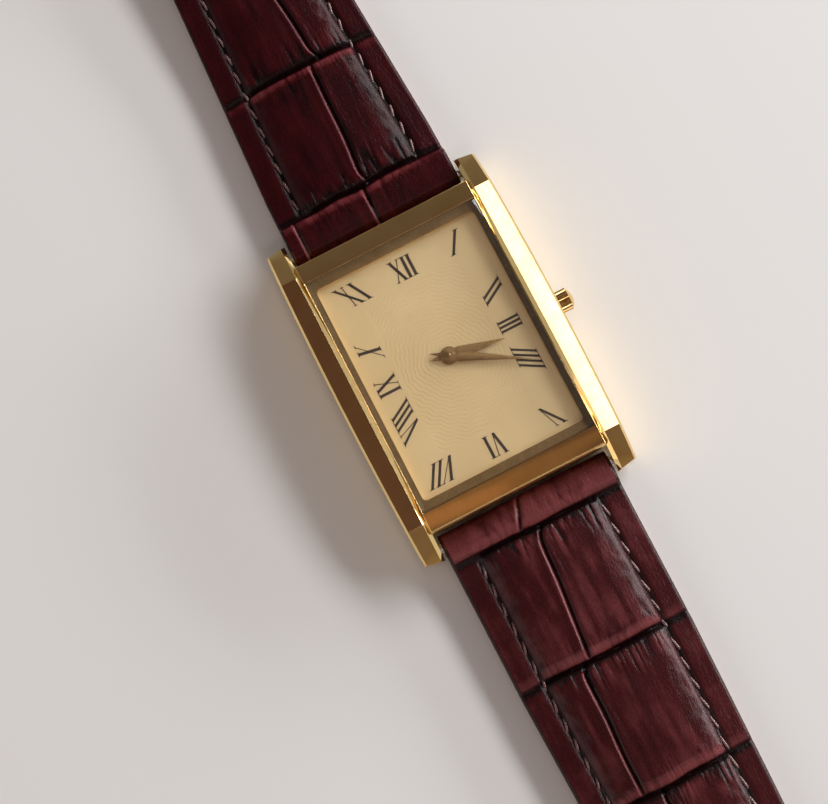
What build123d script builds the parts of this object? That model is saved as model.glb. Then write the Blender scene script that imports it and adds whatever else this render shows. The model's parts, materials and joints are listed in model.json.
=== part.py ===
# Rectangular quartz wristwatch with a padded, grained leather strap, lying dial up with the strap open.
# Millimetres. +Z up out of the dial, +Y towards 12 o'clock, +X towards the crown.
# The origin is the middle of the flat case back.
import os
from math import cos, radians, sin

from build123d import *

os.makedirs("parts", exist_ok=True)

# Walls from the movement out to the case: holder, case middle, rails and lugs
holder_side = 1.05
holder_end = 3.3
case_side = 1.3
case_end = 3.5
rail_width = 2.5
lug_reach = 2.8

# Rails
rail_top = 6.1
rail_shoulder_top = 5.55
rail_shoulder_inset = 4.1
rail_facet_length = 1.25
rail_facet_top = 4.35
rail_tip_top = 3.45
rail_tip_bottom = 0.9
rail_bottom = 0.55
rail_bottom_rise = 2.6
rail_taper = 0.3
rail_end_skew = 0.4
rail_outer_bevel_width = 0.24
rail_outer_bevel_drop = 0.32
rail_inner_bevel_width = 0.42
rail_inner_bevel_drop = 0.28
cut_overrun = 1.0

# Case middle, frame and back
middle_bottom = 0.75
middle_top = 4.3
dial_clearance = 0.05
movement_clearance = 0.05
back_thickness = 0.75
back_edge_bevel = 0.3
back_side_margin = 0.25
back_end_margin = 0.4
back_boss_height = 0.3
back_gasket_width = 0.45
back_gasket_height = 0.2
back_gasket_margin = 0.15
frame_inner_top = 5.72
frame_outer_top = 5.3
frame_edge_drop = 0.35
frame_edge_width = 0.22
frame_ledge_top = 4.95
ledge_side_width = 0.61
ledge_end_width = 1.01
dial_opening_radius = 0.5

# Crystal
crystal_side_sill = 0.19
crossbar_width = 2.34
crystal_clearance = 0.03
crystal_thickness = 0.8
crystal_bevel_width = 0.38
crystal_bevel_drop = 0.16
crystal_gasket_height = 0.12

# Back screws
back_screw_head_diameter = 1.4
back_screw_head_height = 0.35
back_screw_shank_diameter = 0.8
back_screw_length = 2.2
back_screw_slot_width = 0.22
back_screw_slot_depth = 0.16
back_screw_side_inset = 1.8
back_screw_end_inset = 1.75

# Dial
dial_side_lap = 0.25
dial_end_lap = 0.35
dial_thickness = 0.4
dial_top = 4.2
dial_radius = 0.3
dial_hole_diameter = 1.7
dial_foot_diameter = 0.7
dial_foot_length = 1.0
dial_foot_side_inset = 1.35
dial_foot_end_inset = 0.9

# Movement holder and movement
holder_clearance = 0.05
holder_bottom = 1.1
cavity_radius = 1.0
movement_width = 15.3
movement_radius = 1.6
plate_bottom = 1.55
plate_top = 3.7
train_roof = 2.55
motion_floor = 3.12
pocket_clearance = 0.15

# Battery
battery_diameter = 6.8
battery_height = 1.6
battery_bottom = 1.3
battery_side_inset = 4.35
battery_offset = 5.05
battery_wall = 0.45
battery_cap_diameter = 5.4
battery_cap_step = 0.18
insulator_thickness = 0.05
clamp_thickness = 0.14
clamp_width = 2.2
clamp_radius = 0.73

# Circuit board, quartz can and chip
board_thickness = 0.2
board_battery_lap = 0.65
board_side_margin = 0.35
board_end_margin = 0.4
board_y_high = -1.7
can_diameter = 1.4
can_length = 5.0
can_side_inset = 1.55
can_end_inset = 3.7
chip_side = 2.0
chip_height = 0.4
chip_can_offset = 0.3

# Coil and stator
coil_x = -0.3
coil_end_inset = 1.4
coil_diameter = 1.7
coil_roof_relief = 0.42
core_side_margin = 1.75
core_end_length = 2.6
core_width = 1.3
core_thickness = 0.3
core_bottom = 1.9
stator_thickness = 0.3
stator_arm_drop = 0.43
rotor_gap = 0.35

# Train
minute_arbor_diameter = 0.3
arbor_diameter = 0.24
pivot_clearance = 0.02
wheel_thickness = 0.15
pinion_length = 0.26
rotor_teeth = 8
intermediate_teeth = 48
intermediate_pinion_teeth = 8
third_teeth = 40
third_pinion_teeth = 10
center_teeth = 30
intermediate_module = 0.08
third_module = 0.1
center_module = 0.12
third_bearing_degrees = 150
intermediate_bearing_degrees = 100
rotor_bearing_degrees = 20
bridge_bottom = 1.25
bridge_thickness = 0.3
third_level = 1.64
intermediate_level = 1.95
center_level = 2.26
rotor_magnet_diameter = 1.1
rotor_magnet_height = 0.34
bridge_screw_head_diameter = 1.1
bridge_screw_head_height = 0.12
bridge_screw_shank_diameter = 0.6
bridge_screw_length = 1.2
bridge_screw_inset = 1.65

# Motion works
cannon_teeth = 12
minute_wheel_teeth = 36
minute_pinion_teeth = 10
hour_wheel_teeth = 40
motion_distance = 2.16
minute_wheel_bearing_degrees = 30
cannon_level = 3.16
hour_level = 3.42
motion_gear_thickness = 0.16
cannon_tube_diameter = 0.9
cannon_shank_diameter = 0.7
cannon_top = 4.93
hour_pipe_diameter = 1.5
hour_pipe_top = 4.62
pipe_clearance = 0.05
washer_thickness = 0.06
washer_diameter = 2.6

# Hands
hour_hand_level = 4.44
minute_hand_level = 4.72
hand_thickness = 0.13
hand_edge_thickness = 0.04
hour_hand_reach = 6.1
minute_hand_reach = 8.6
hand_tail = 2.1
hour_hand_width = 1.35
minute_hand_width = 1.15
hand_shoulder = 1.1
hand_boss_diameter = 1.9
minute_boss_diameter = 1.5
hour_hand_degrees = 100
minute_hand_degrees = 120

# Stem, crown and keyless works
stem_level = 2.35
stem_diameter = 0.7
stem_reach = 3.25
stem_groove_diameter = 0.44
stem_groove_width = 0.62
crown_diameter = 2.4
crown_length = 1.8
crown_gap = 0.08
crown_dome = 0.45
crown_flutes = 30
crown_flute_depth = 0.1
crown_cavity_diameter = 1.76
crown_cavity_depth = 1.1
crown_tube_diameter = 1.3
crown_tube_bore = 0.8
crown_tube_reach = 0.85
crown_tube_depth = 0.8
crown_gasket_clearance = 0.02
crown_gasket_length = 0.5
clutch_side_inset = 2.65
clutch_length = 0.95
clutch_diameter = 1.3
clutch_teeth = 12
clutch_tooth_depth = 0.14
clutch_tooth_length = 0.42
lever_side_inset = 1.05
lever_pivot_y = 2.4
lever_pivot_diameter = 0.6
lever_thickness = 0.22
lever_bottom = 1.72
lever_pin_diameter = 0.36
lever_width = 0.5
lever_head_diameter = 1.2

# Spring bars in the lugs
bar_inset = 1.35
bar_level = 2.2
bar_tube_diameter = 1.5
bar_tube_bore = 0.9
bar_tube_end_inset = 1.3
bar_shank_diameter = 0.8
bar_shank_length = 2.6
bar_flange_diameter = 1.3
bar_flange_thickness = 0.35
bar_pin_diameter = 0.9
bar_pin_length = 0.7
bar_pin_play = 0.12
bar_end_gap = 0.15

# Strap
strap_lug_clearance = 0.3
strap_first_narrowing = 0.1
strap_middle_narrowing = 2.2
strap_end_narrowing = 3.4
strap_nose_radius = 1.3
strap_bore_clearance = 0.08
strap_end_lift = 0.1
strap_landing = 5.0
strap_padded_thickness = 3.9
strap_middle_thickness = 3.6
strap_flat_thickness = 2.2
strap_edge_thickness = 1.9
lining_thickness = 0.8
lining_start = 3.0
lining_end_inset = 2.2
short_length = 74.0
short_taper_start = 6.5
short_taper_middle = 27.0
short_taper_lead = 12.0
short_pad_end = 20.0
short_lift_start = 22.0
short_lift_lead = 16.0
long_length = 115.0
long_taper_start = 18.0
long_taper_middle = 58.0
long_taper_lead = 35.0
long_pad_end = 28.0
short_roll = 3.35
long_roll = 2.45
row_pitch = 14.6
row_groove_half = 0.55
row_shoulder_half = 1.9
row_shoulder_share = 0.45
groove_share = 0.26
station_spacing = 0.2
crown_share = 0.72
hole_diameter = 1.9
hole_count = 7
hole_pitch = 6.5
hole_last_inset = 14.0
strap_tip_length = 11.0
strap_tip_flat = 2.4
strap_tip_swell_share = 0.78
tongue_slot_width = 2.7
tongue_slot_length = 7.8

# Keepers
keeper_wall = 1.0
keeper_length = 4.6
keeper_clearance = 0.35
keeper_inner_height = 4.9
keeper_radius = 0.5
fixed_keeper_inset = 11.0
keeper_spacing = 11.0

# Buckle
buckle_level = 2.3
buckle_clearance = 0.25
buckle_arm_width = 1.7
buckle_reach = 9.2
buckle_front_width = 2.1
buckle_thickness = 1.9
buckle_corner_radius = 2.2
buckle_eye_diameter = 2.6
buckle_notch_depth = 0.3
buckle_notch_clearance = 0.15
buckle_tube_end_inset = 1.45
buckle_edge_bevel = 0.4
tongue_width = 2.0
tongue_thickness = 0.9
tongue_overhang = 0.9
tongue_ring_diameter = 2.5
tongue_rest_gap = 0.05

# Sizes that follow from those above: the movement takes its length from the cell, the case goes round it
movement_length = 2 * (battery_offset + battery_diameter / 2 + battery_wall)
cavity_width = movement_width + 2 * holder_side
cavity_length = movement_length + 2 * holder_end
lug_gap = cavity_width + 2 * case_side
crossbar_span = cavity_length + 2 * case_end
case_width = lug_gap + 2 * rail_width
case_length = crossbar_span + 2 * lug_reach
back_width = lug_gap - 2 * back_side_margin
back_length = crossbar_span - 2 * back_end_margin
back_screw_spread_x = lug_gap - 2 * back_screw_side_inset
back_screw_spread_y = crossbar_span - 2 * back_screw_end_inset
crystal_width = lug_gap - 2 * crystal_side_sill
crystal_length = crossbar_span - 2 * crossbar_width
dial_opening_width = crystal_width - 2 * ledge_side_width
dial_opening_length = crystal_length - 2 * ledge_end_width
dial_width = dial_opening_width + 2 * dial_side_lap
dial_length = dial_opening_length + 2 * dial_end_lap
dial_foot_x = movement_width / 2 - dial_foot_side_inset
dial_foot_y = movement_length / 2 - dial_foot_end_inset
battery_x = battery_side_inset - movement_width / 2
battery_y = -battery_offset
board_x_low = battery_x + battery_diameter / 2 + board_battery_lap
board_x_high = movement_width / 2 - board_side_margin
board_y_low = board_end_margin - movement_length / 2
can_x = movement_width / 2 - can_side_inset
can_y = can_end_inset - movement_length / 2
chip_x = (battery_x + battery_diameter / 2 + can_x - can_diameter / 2) / 2
chip_y = can_y + chip_can_offset
coil_y = movement_length / 2 - coil_end_inset
core_length = movement_width - 2 * core_side_margin
coil_length = core_length - 2 * core_end_length
stem_inner_end = movement_width / 2 - stem_reach
lever_pivot_x = movement_width / 2 - lever_side_inset
stem_groove_x = lever_pivot_x
clutch_x = movement_width / 2 - clutch_side_inset
crown_tube_root = lug_gap / 2 - crown_tube_depth
bar_tube_length = lug_gap - 2 * bar_tube_end_inset
strap_lug_width = lug_gap - 2 * strap_lug_clearance
strap_middle_width = strap_lug_width - strap_middle_narrowing
strap_end_width = strap_lug_width - strap_end_narrowing
keeper_inner_width = strap_end_width + 2 * keeper_clearance
fixed_keeper_centre = short_length - fixed_keeper_inset
free_keeper_centre = fixed_keeper_centre - keeper_spacing
short_taper_end = free_keeper_centre - short_taper_lead
short_lift_end = free_keeper_centre - short_lift_lead
long_taper_end = long_length - long_taper_lead
hole_first = long_length - hole_last_inset - (hole_count - 1) * hole_pitch
buckle_inner_width = strap_end_width + 2 * buckle_clearance
buckle_tube_length = buckle_inner_width - 2 * buckle_tube_end_inset
rail_inner = lug_gap / 2
half_case = case_length / 2
bar_y = half_case - bar_inset
shoulder_y = half_case - rail_shoulder_inset
facet_y = half_case - rail_facet_length
frame_opening_width = crystal_width + 2 * crystal_clearance
frame_opening_length = crystal_length + 2 * crystal_clearance
crystal_bottom = frame_ledge_top + crystal_gasket_height
dial_bottom = dial_top - dial_thickness
board_bottom = plate_bottom - board_thickness
battery_top = battery_bottom + battery_height


def polar_place(origin, distance, degrees):
    """Point at a distance and a bearing, counted from +X, from another point."""
    return (origin[0] + distance * cos(radians(degrees)), origin[1] + distance * sin(radians(degrees)))


center_axis = (0.0, 0.0)
third_distance = center_module * (third_pinion_teeth + center_teeth) / 2
intermediate_distance = third_module * (intermediate_pinion_teeth + third_teeth) / 2
rotor_distance = intermediate_module * (rotor_teeth + intermediate_teeth) / 2
third_axis = polar_place(center_axis, third_distance, third_bearing_degrees)
intermediate_axis = polar_place(third_axis, intermediate_distance, intermediate_bearing_degrees)
rotor_axis = polar_place(intermediate_axis, rotor_distance, rotor_bearing_degrees)
minute_wheel_axis = polar_place(center_axis, motion_distance, minute_wheel_bearing_degrees)
cannon_module = 2 * motion_distance / (cannon_teeth + minute_wheel_teeth)
hour_module = 2 * motion_distance / (minute_pinion_teeth + hour_wheel_teeth)

# Gear teeth: tip and root heights in modules, and the share of the pitch that a tooth fills at tip and root
tooth_tip_share = 0.9
tooth_root_share = 1.15
tooth_crest_share = 0.16
tooth_foot_share = 0.56


def gear_outline(axis, teeth, module, turn_degrees=0.0):
    """Corner points of a spur gear with straight-flanked teeth, one of them at the given bearing."""
    tip = module * (teeth / 2 + tooth_tip_share)
    root = module * (teeth / 2 - tooth_root_share)
    pitch = 360 / teeth
    corners = []
    for tooth in range(teeth):
        middle = turn_degrees + tooth * pitch
        for radius, share in (
            (root, -tooth_foot_share),
            (tip, -tooth_crest_share),
            (tip, tooth_crest_share),
            (root, tooth_foot_share),
        ):
            corners.append(polar_place(axis, radius, middle + share * pitch / 2))
    return corners


def mesh_turn(own_teeth, other_teeth, bearing_degrees, other_turn_degrees=0.0):
    """Turn that puts a gap of this gear over a tooth of its neighbour, which lies at the given bearing."""
    other_phase = (bearing_degrees + 180 - other_turn_degrees) * other_teeth / 360
    own_phase = -other_phase + 0.5
    return bearing_degrees - own_phase * 360 / own_teeth


# Rails: two solid bars beside the case, running past it as lugs
def rail(side, name):
    with BuildPart() as bar:
        with BuildSketch(Plane.YZ.offset(rail_inner)):
            with BuildLine():
                ThreePointArc(
                    (-shoulder_y, rail_shoulder_top),
                    (0, rail_top),
                    (shoulder_y, rail_shoulder_top),
                )
                Line((shoulder_y, rail_shoulder_top), (facet_y, rail_facet_top))
                Line((facet_y, rail_facet_top), (half_case, rail_tip_top))
                Line((half_case, rail_tip_top), (half_case, rail_tip_bottom))
                Line((half_case, rail_tip_bottom), (half_case - rail_bottom_rise, rail_bottom))
                Line((half_case - rail_bottom_rise, rail_bottom), (rail_bottom_rise - half_case, rail_bottom))
                Line((rail_bottom_rise - half_case, rail_bottom), (-half_case, rail_tip_bottom))
                Line((-half_case, rail_tip_bottom), (-half_case, rail_tip_top))
                Line((-half_case, rail_tip_top), (-facet_y, rail_facet_top))
                Line((-facet_y, rail_facet_top), (-shoulder_y, rail_shoulder_top))
            make_face()
        extrude(amount=rail_width)
        # The plan narrows a little towards both ends, and each end is cut slightly askew
        with BuildSketch(Plane.XY):
            with BuildLine():
                tip_outer = case_width / 2 - rail_taper
                skew_y = half_case - rail_end_skew
                ThreePointArc((tip_outer, -skew_y), (case_width / 2, 0), (tip_outer, skew_y))
                Polyline(
                    (tip_outer, skew_y),
                    (rail_inner, half_case),
                    (rail_inner, -half_case),
                    (tip_outer, -skew_y),
                )
            make_face()
        extrude(amount=rail_top + cut_overrun, mode=Mode.INTERSECT)
        inner_face = bar.faces().sort_by(Axis.X)[0]
        inner_top = inner_face.edges().filter_by(lambda e: e.center().Z > rail_tip_top).sort_by(Axis.Z)
        chamfer(inner_top, length=rail_inner_bevel_drop, length2=rail_inner_bevel_width, reference=inner_face)
        outer_face = bar.faces().filter_by(GeomType.CYLINDER).sort_by(Axis.X)[-1]
        outer_top = outer_face.edges().filter_by(lambda e: e.center().Z > rail_tip_top)
        chamfer(outer_top, length=rail_outer_bevel_drop, length2=rail_outer_bevel_width, reference=outer_face)
        # Blind holes for the spring bars
        with Locations(Plane.YZ.offset(rail_inner)):
            with Locations((bar_y, bar_level), (-bar_y, bar_level)):
                Cylinder(
                    bar_pin_diameter / 2 + pipe_clearance,
                    bar_pin_length + bar_pin_play,
                    align=(Align.CENTER, Align.CENTER, Align.MIN),
                    mode=Mode.SUBTRACT,
                )
        if side > 0:
            with Locations(Plane.YZ.offset(rail_inner)):
                with Locations((0, stem_level)):
                    Cylinder(
                        crown_tube_diameter / 2,
                        rail_width + cut_overrun,
                        align=(Align.CENTER, Align.CENTER, Align.MIN),
                        mode=Mode.SUBTRACT,
                    )
    placed = bar.part if side > 0 else mirror(bar.part, about=Plane.YZ)
    placed.label = name
    export_step(placed, f"parts/{name}.step")


rail(1, "right_rail")
rail(-1, "left_rail")

# Case middle: the box between the rails that takes the dial and the movement
gasket_outer_width = cavity_width + 2 * (back_gasket_margin + back_gasket_width)
gasket_outer_length = cavity_length + 2 * (back_gasket_margin + back_gasket_width)
gasket_inner_width = cavity_width + 2 * back_gasket_margin
gasket_inner_length = cavity_length + 2 * back_gasket_margin
screw_hole_depth = back_screw_length - back_thickness
with BuildPart() as case_middle:
    with BuildSketch(Plane.XY.offset(middle_bottom)):
        Rectangle(lug_gap, crossbar_span)
        RectangleRounded(cavity_width, cavity_length, cavity_radius, mode=Mode.SUBTRACT)
    extrude(amount=middle_top - middle_bottom)
    with BuildSketch(Plane.XY.offset(dial_bottom)):
        RectangleRounded(dial_width + 2 * dial_clearance, dial_length + 2 * dial_clearance, dial_radius)
    extrude(amount=middle_top - dial_bottom, mode=Mode.SUBTRACT)
    with BuildSketch(Plane.XY.offset(middle_bottom)):
        RectangleRounded(gasket_outer_width, gasket_outer_length, cavity_radius)
        RectangleRounded(gasket_inner_width, gasket_inner_length, cavity_radius, mode=Mode.SUBTRACT)
    extrude(amount=back_gasket_height, mode=Mode.SUBTRACT)
    with BuildSketch(Plane.XY.offset(middle_bottom)):
        with GridLocations(back_screw_spread_x, back_screw_spread_y, 2, 2):
            Circle(back_screw_shank_diameter / 2)
    extrude(amount=screw_hole_depth, mode=Mode.SUBTRACT)
    with Locations(Plane.YZ.offset(crown_tube_root)):
        with Locations((0, stem_level)):
            Cylinder(
                crown_tube_diameter / 2,
                rail_width,
                align=(Align.CENTER, Align.CENTER, Align.MIN),
                mode=Mode.SUBTRACT,
            )
    with Locations(Plane.YZ.offset(cavity_width / 2 - cut_overrun)):
        with Locations((0, stem_level)):
            Cylinder(
                crown_tube_bore / 2,
                rail_width,
                align=(Align.CENTER, Align.CENTER, Align.MIN),
                mode=Mode.SUBTRACT,
            )
case_middle.part.label = "case_middle"
export_step(case_middle.part, "parts/case_middle.step")

# Bezel frame: crossbars sloping outwards at 12 and 6, joined by thin sills that hold the crystal
with BuildPart() as bezel_frame:
    half_span = crossbar_span / 2
    half_opening = frame_opening_length / 2
    with BuildSketch(Plane.YZ.offset(-lug_gap / 2)):
        with BuildLine():
            Polyline(
                (-half_span, middle_top),
                (-half_span, frame_outer_top - frame_edge_drop),
                (-half_span + frame_edge_width, frame_outer_top),
                (-half_opening, frame_inner_top),
                (half_opening, frame_inner_top),
                (half_span - frame_edge_width, frame_outer_top),
                (half_span, frame_outer_top - frame_edge_drop),
                (half_span, middle_top),
                close=True,
            )
        make_face()
    extrude(amount=lug_gap)
    with BuildSketch(Plane.XY.offset(frame_ledge_top)):
        Rectangle(frame_opening_width, frame_opening_length)
    extrude(amount=frame_inner_top, mode=Mode.SUBTRACT)
    with BuildSketch(Plane.XY.offset(middle_top)):
        RectangleRounded(dial_opening_width, dial_opening_length, dial_opening_radius)
    extrude(amount=frame_inner_top, mode=Mode.SUBTRACT)
bezel_frame.part.label = "bezel_frame"
export_step(bezel_frame.part, "parts/bezel_frame.step")

# Crystal: flat glass with a polished bevel, on a thin gasket
with BuildPart() as crystal:
    with BuildSketch(Plane.XY.offset(crystal_bottom)):
        Rectangle(crystal_width, crystal_length)
    extrude(amount=crystal_thickness)
    chamfer(
        crystal.faces().sort_by(Axis.Z)[-1].edges(),
        length=crystal_bevel_width,
        length2=crystal_bevel_drop,
        reference=crystal.faces().sort_by(Axis.Z)[-1],
    )
crystal.part.label = "crystal"
export_step(crystal.part, "parts/crystal.step")

with BuildPart() as crystal_gasket:
    with BuildSketch(Plane.XY.offset(frame_ledge_top)):
        Rectangle(crystal_width, crystal_length)
        RectangleRounded(dial_opening_width, dial_opening_length, dial_opening_radius, mode=Mode.SUBTRACT)
    extrude(amount=crystal_gasket_height)
crystal_gasket.part.label = "crystal_gasket"
export_step(crystal_gasket.part, "parts/crystal_gasket.step")

# Case back: a flat plate with a boss that centres it in the cavity, held by four screws
with BuildPart() as case_back:
    with BuildSketch(Plane.XY):
        Rectangle(back_width, back_length)
    extrude(amount=back_thickness)
    chamfer(case_back.faces().sort_by(Axis.Z)[0].edges(), back_edge_bevel)
    with BuildSketch(Plane.XY.offset(back_thickness)):
        RectangleRounded(
            cavity_width - 2 * movement_clearance, cavity_length - 2 * movement_clearance, cavity_radius
        )
    extrude(amount=back_boss_height)
    with BuildSketch(Plane.XY):
        with GridLocations(back_screw_spread_x, back_screw_spread_y, 2, 2):
            Circle(back_screw_head_diameter / 2)
    extrude(amount=back_screw_head_height, mode=Mode.SUBTRACT)
    with BuildSketch(Plane.XY):
        with GridLocations(back_screw_spread_x, back_screw_spread_y, 2, 2):
            Circle(back_screw_shank_diameter / 2)
    extrude(amount=back_thickness, mode=Mode.SUBTRACT)
case_back.part.label = "case_back"
export_step(case_back.part, "parts/case_back.step")

with BuildPart() as case_back_screws:
    with BuildSketch(Plane.XY):
        with GridLocations(back_screw_spread_x, back_screw_spread_y, 2, 2):
            Circle(back_screw_head_diameter / 2)
    extrude(amount=back_screw_head_height)
    with BuildSketch(Plane.XY):
        with GridLocations(back_screw_spread_x, back_screw_spread_y, 2, 2):
            Circle(back_screw_shank_diameter / 2)
    extrude(amount=back_screw_length)
    with BuildSketch(Plane.XY):
        with GridLocations(back_screw_spread_x, back_screw_spread_y, 2, 2):
            Rectangle(back_screw_head_diameter + cut_overrun, back_screw_slot_width)
    extrude(amount=back_screw_slot_depth, mode=Mode.SUBTRACT)
case_back_screws.part.label = "case_back_screws"
export_step(case_back_screws.part, "parts/case_back_screws.step")

with BuildPart() as case_back_gasket:
    with BuildSketch(Plane.XY.offset(middle_bottom)):
        RectangleRounded(gasket_outer_width, gasket_outer_length, cavity_radius)
        RectangleRounded(gasket_inner_width, gasket_inner_length, cavity_radius, mode=Mode.SUBTRACT)
    extrude(amount=back_gasket_height)
case_back_gasket.part.label = "case_back_gasket"
export_step(case_back_gasket.part, "parts/case_back_gasket.step")

# Movement holder: a plastic ring that fills the cavity round the movement
holder_width = cavity_width - 2 * holder_clearance
holder_length = cavity_length - 2 * holder_clearance
with BuildPart() as movement_holder:
    with BuildSketch(Plane.XY.offset(holder_bottom)):
        RectangleRounded(holder_width, holder_length, cavity_radius)
        RectangleRounded(
            movement_width + 2 * movement_clearance,
            movement_length + 2 * movement_clearance,
            movement_radius,
            mode=Mode.SUBTRACT,
        )
    extrude(amount=dial_bottom - holder_bottom)
    with Locations(Plane.YZ.offset(movement_width / 2)):
        with Locations((0, stem_level)):
            Cylinder(
                crown_tube_diameter / 2,
                movement_width,
                align=(Align.CENTER, Align.CENTER, Align.MIN),
                mode=Mode.SUBTRACT,
            )
movement_holder.part.label = "movement_holder"
export_step(movement_holder.part, "parts/movement_holder.step")

# Dial: a thin plate with two feet that sit in the main plate
with BuildPart() as dial:
    with BuildSketch(Plane.XY.offset(dial_bottom)):
        RectangleRounded(dial_width, dial_length, dial_radius)
        Circle(dial_hole_diameter / 2, mode=Mode.SUBTRACT)
    extrude(amount=dial_thickness)
    with BuildSketch(Plane.XY.offset(dial_bottom)):
        with Locations((-dial_foot_x, -dial_foot_y), (dial_foot_x, dial_foot_y)):
            Circle(dial_foot_diameter / 2)
    extrude(amount=-dial_foot_length)
dial.part.label = "dial"
export_step(dial.part, "parts/dial.step")


# Hands: slim lozenges with a ridge along the middle and a boss at the pivot, turned to the time they show
def hand(name, reach, width, level, boss_diameter, hole_diameter, clock_degrees):
    place = Plane.XY.offset(level).rotated((0, 0, 90 - clock_degrees))
    across = Plane(origin=place.from_local_coords((-hand_tail, 0, 0)), x_dir=place.y_dir, z_dir=place.x_dir)
    with BuildPart() as pointer:
        with BuildSketch(place):
            with BuildLine():
                Polyline(
                    (reach, 0),
                    (hand_shoulder, width / 2),
                    (-hand_tail, 0),
                    (hand_shoulder, -width / 2),
                    close=True,
                )
            make_face()
        extrude(amount=hand_thickness)
        # The roof falls from the ridge to a thin edge at the widest place
        with BuildSketch(across):
            with BuildLine():
                Polyline(
                    (-width / 2, 0),
                    (-width / 2, hand_edge_thickness),
                    (0, hand_thickness),
                    (width / 2, hand_edge_thickness),
                    (width / 2, 0),
                    close=True,
                )
            make_face()
        extrude(amount=hand_tail + reach, mode=Mode.INTERSECT)
        with BuildSketch(place):
            Circle(boss_diameter / 2)
        extrude(amount=hand_thickness)
        with BuildSketch(place):
            Circle(hole_diameter / 2)
        extrude(amount=hand_thickness, mode=Mode.SUBTRACT)
    pointer.part.label = name
    export_step(pointer.part, f"parts/{name}.step")


hand(
    "hour_hand",
    hour_hand_reach,
    hour_hand_width,
    hour_hand_level,
    hand_boss_diameter,
    hour_pipe_diameter,
    hour_hand_degrees,
)
hand(
    "minute_hand",
    minute_hand_reach,
    minute_hand_width,
    minute_hand_level,
    minute_boss_diameter,
    cannon_tube_diameter,
    minute_hand_degrees,
)

# Main plate: a moulded block with pockets for the train, coil, battery, stem and motion works
stem_channel_width = clutch_diameter + 4 * pocket_clearance
train_pocket_low_y = -(center_module * center_teeth / 2 + 2 * pocket_clearance)
train_pocket_high_y = coil_y - coil_diameter / 2 - pocket_clearance
intermediate_radius = intermediate_module * intermediate_teeth / 2
train_pocket_low_x = intermediate_axis[0] - intermediate_radius - 2 * pocket_clearance
train_pocket_high_x = center_module * center_teeth / 2 + 2 * pocket_clearance
motion_pocket_radius = hour_module * (hour_wheel_teeth / 2 + 1) + pocket_clearance
bridge_margin = 2 * pocket_clearance
bridge_low_x = -movement_width / 2 + bridge_margin
bridge_high_x = train_pocket_high_x + bridge_screw_head_diameter + bridge_margin
bridge_low_y = battery_y + battery_diameter / 2 + bridge_margin
bridge_high_y = coil_y - coil_diameter / 2 - bridge_margin
bridge_screw_places = (
    (bridge_low_x + bridge_screw_head_diameter, bridge_high_y - bridge_screw_inset),
    (bridge_high_x - bridge_screw_head_diameter / 2 - bridge_margin, bridge_high_y / 2),
    (bridge_low_x + bridge_screw_head_diameter, bridge_low_y + bridge_screw_head_diameter),
)
stator_bottom = core_bottom + core_thickness
stator_pad = (core_length - coil_length) / 2 - 2 * pocket_clearance
stator_low_x = coil_x - core_length / 2
stator_high_x = coil_x + core_length / 2
stator_top_y = coil_y + core_width / 2
stator_waist_y = coil_y - coil_diameter / 2 - pocket_clearance
stator_arm_y = stator_waist_y - stator_arm_drop
stator_ring_radius = rotor_magnet_diameter / 2 + rotor_gap + core_width / 2
stator_outline = (
    (stator_low_x, stator_top_y),
    (stator_low_x, stator_arm_y),
    (rotor_axis[0] - stator_ring_radius, rotor_axis[1]),
    (rotor_axis[0] + stator_ring_radius, rotor_axis[1]),
    (stator_high_x, stator_arm_y),
    (stator_high_x, stator_top_y),
    (stator_high_x - stator_pad, stator_top_y),
    (stator_high_x - stator_pad, stator_waist_y),
    (stator_low_x + stator_pad, stator_waist_y),
    (stator_low_x + stator_pad, stator_top_y),
)
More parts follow.
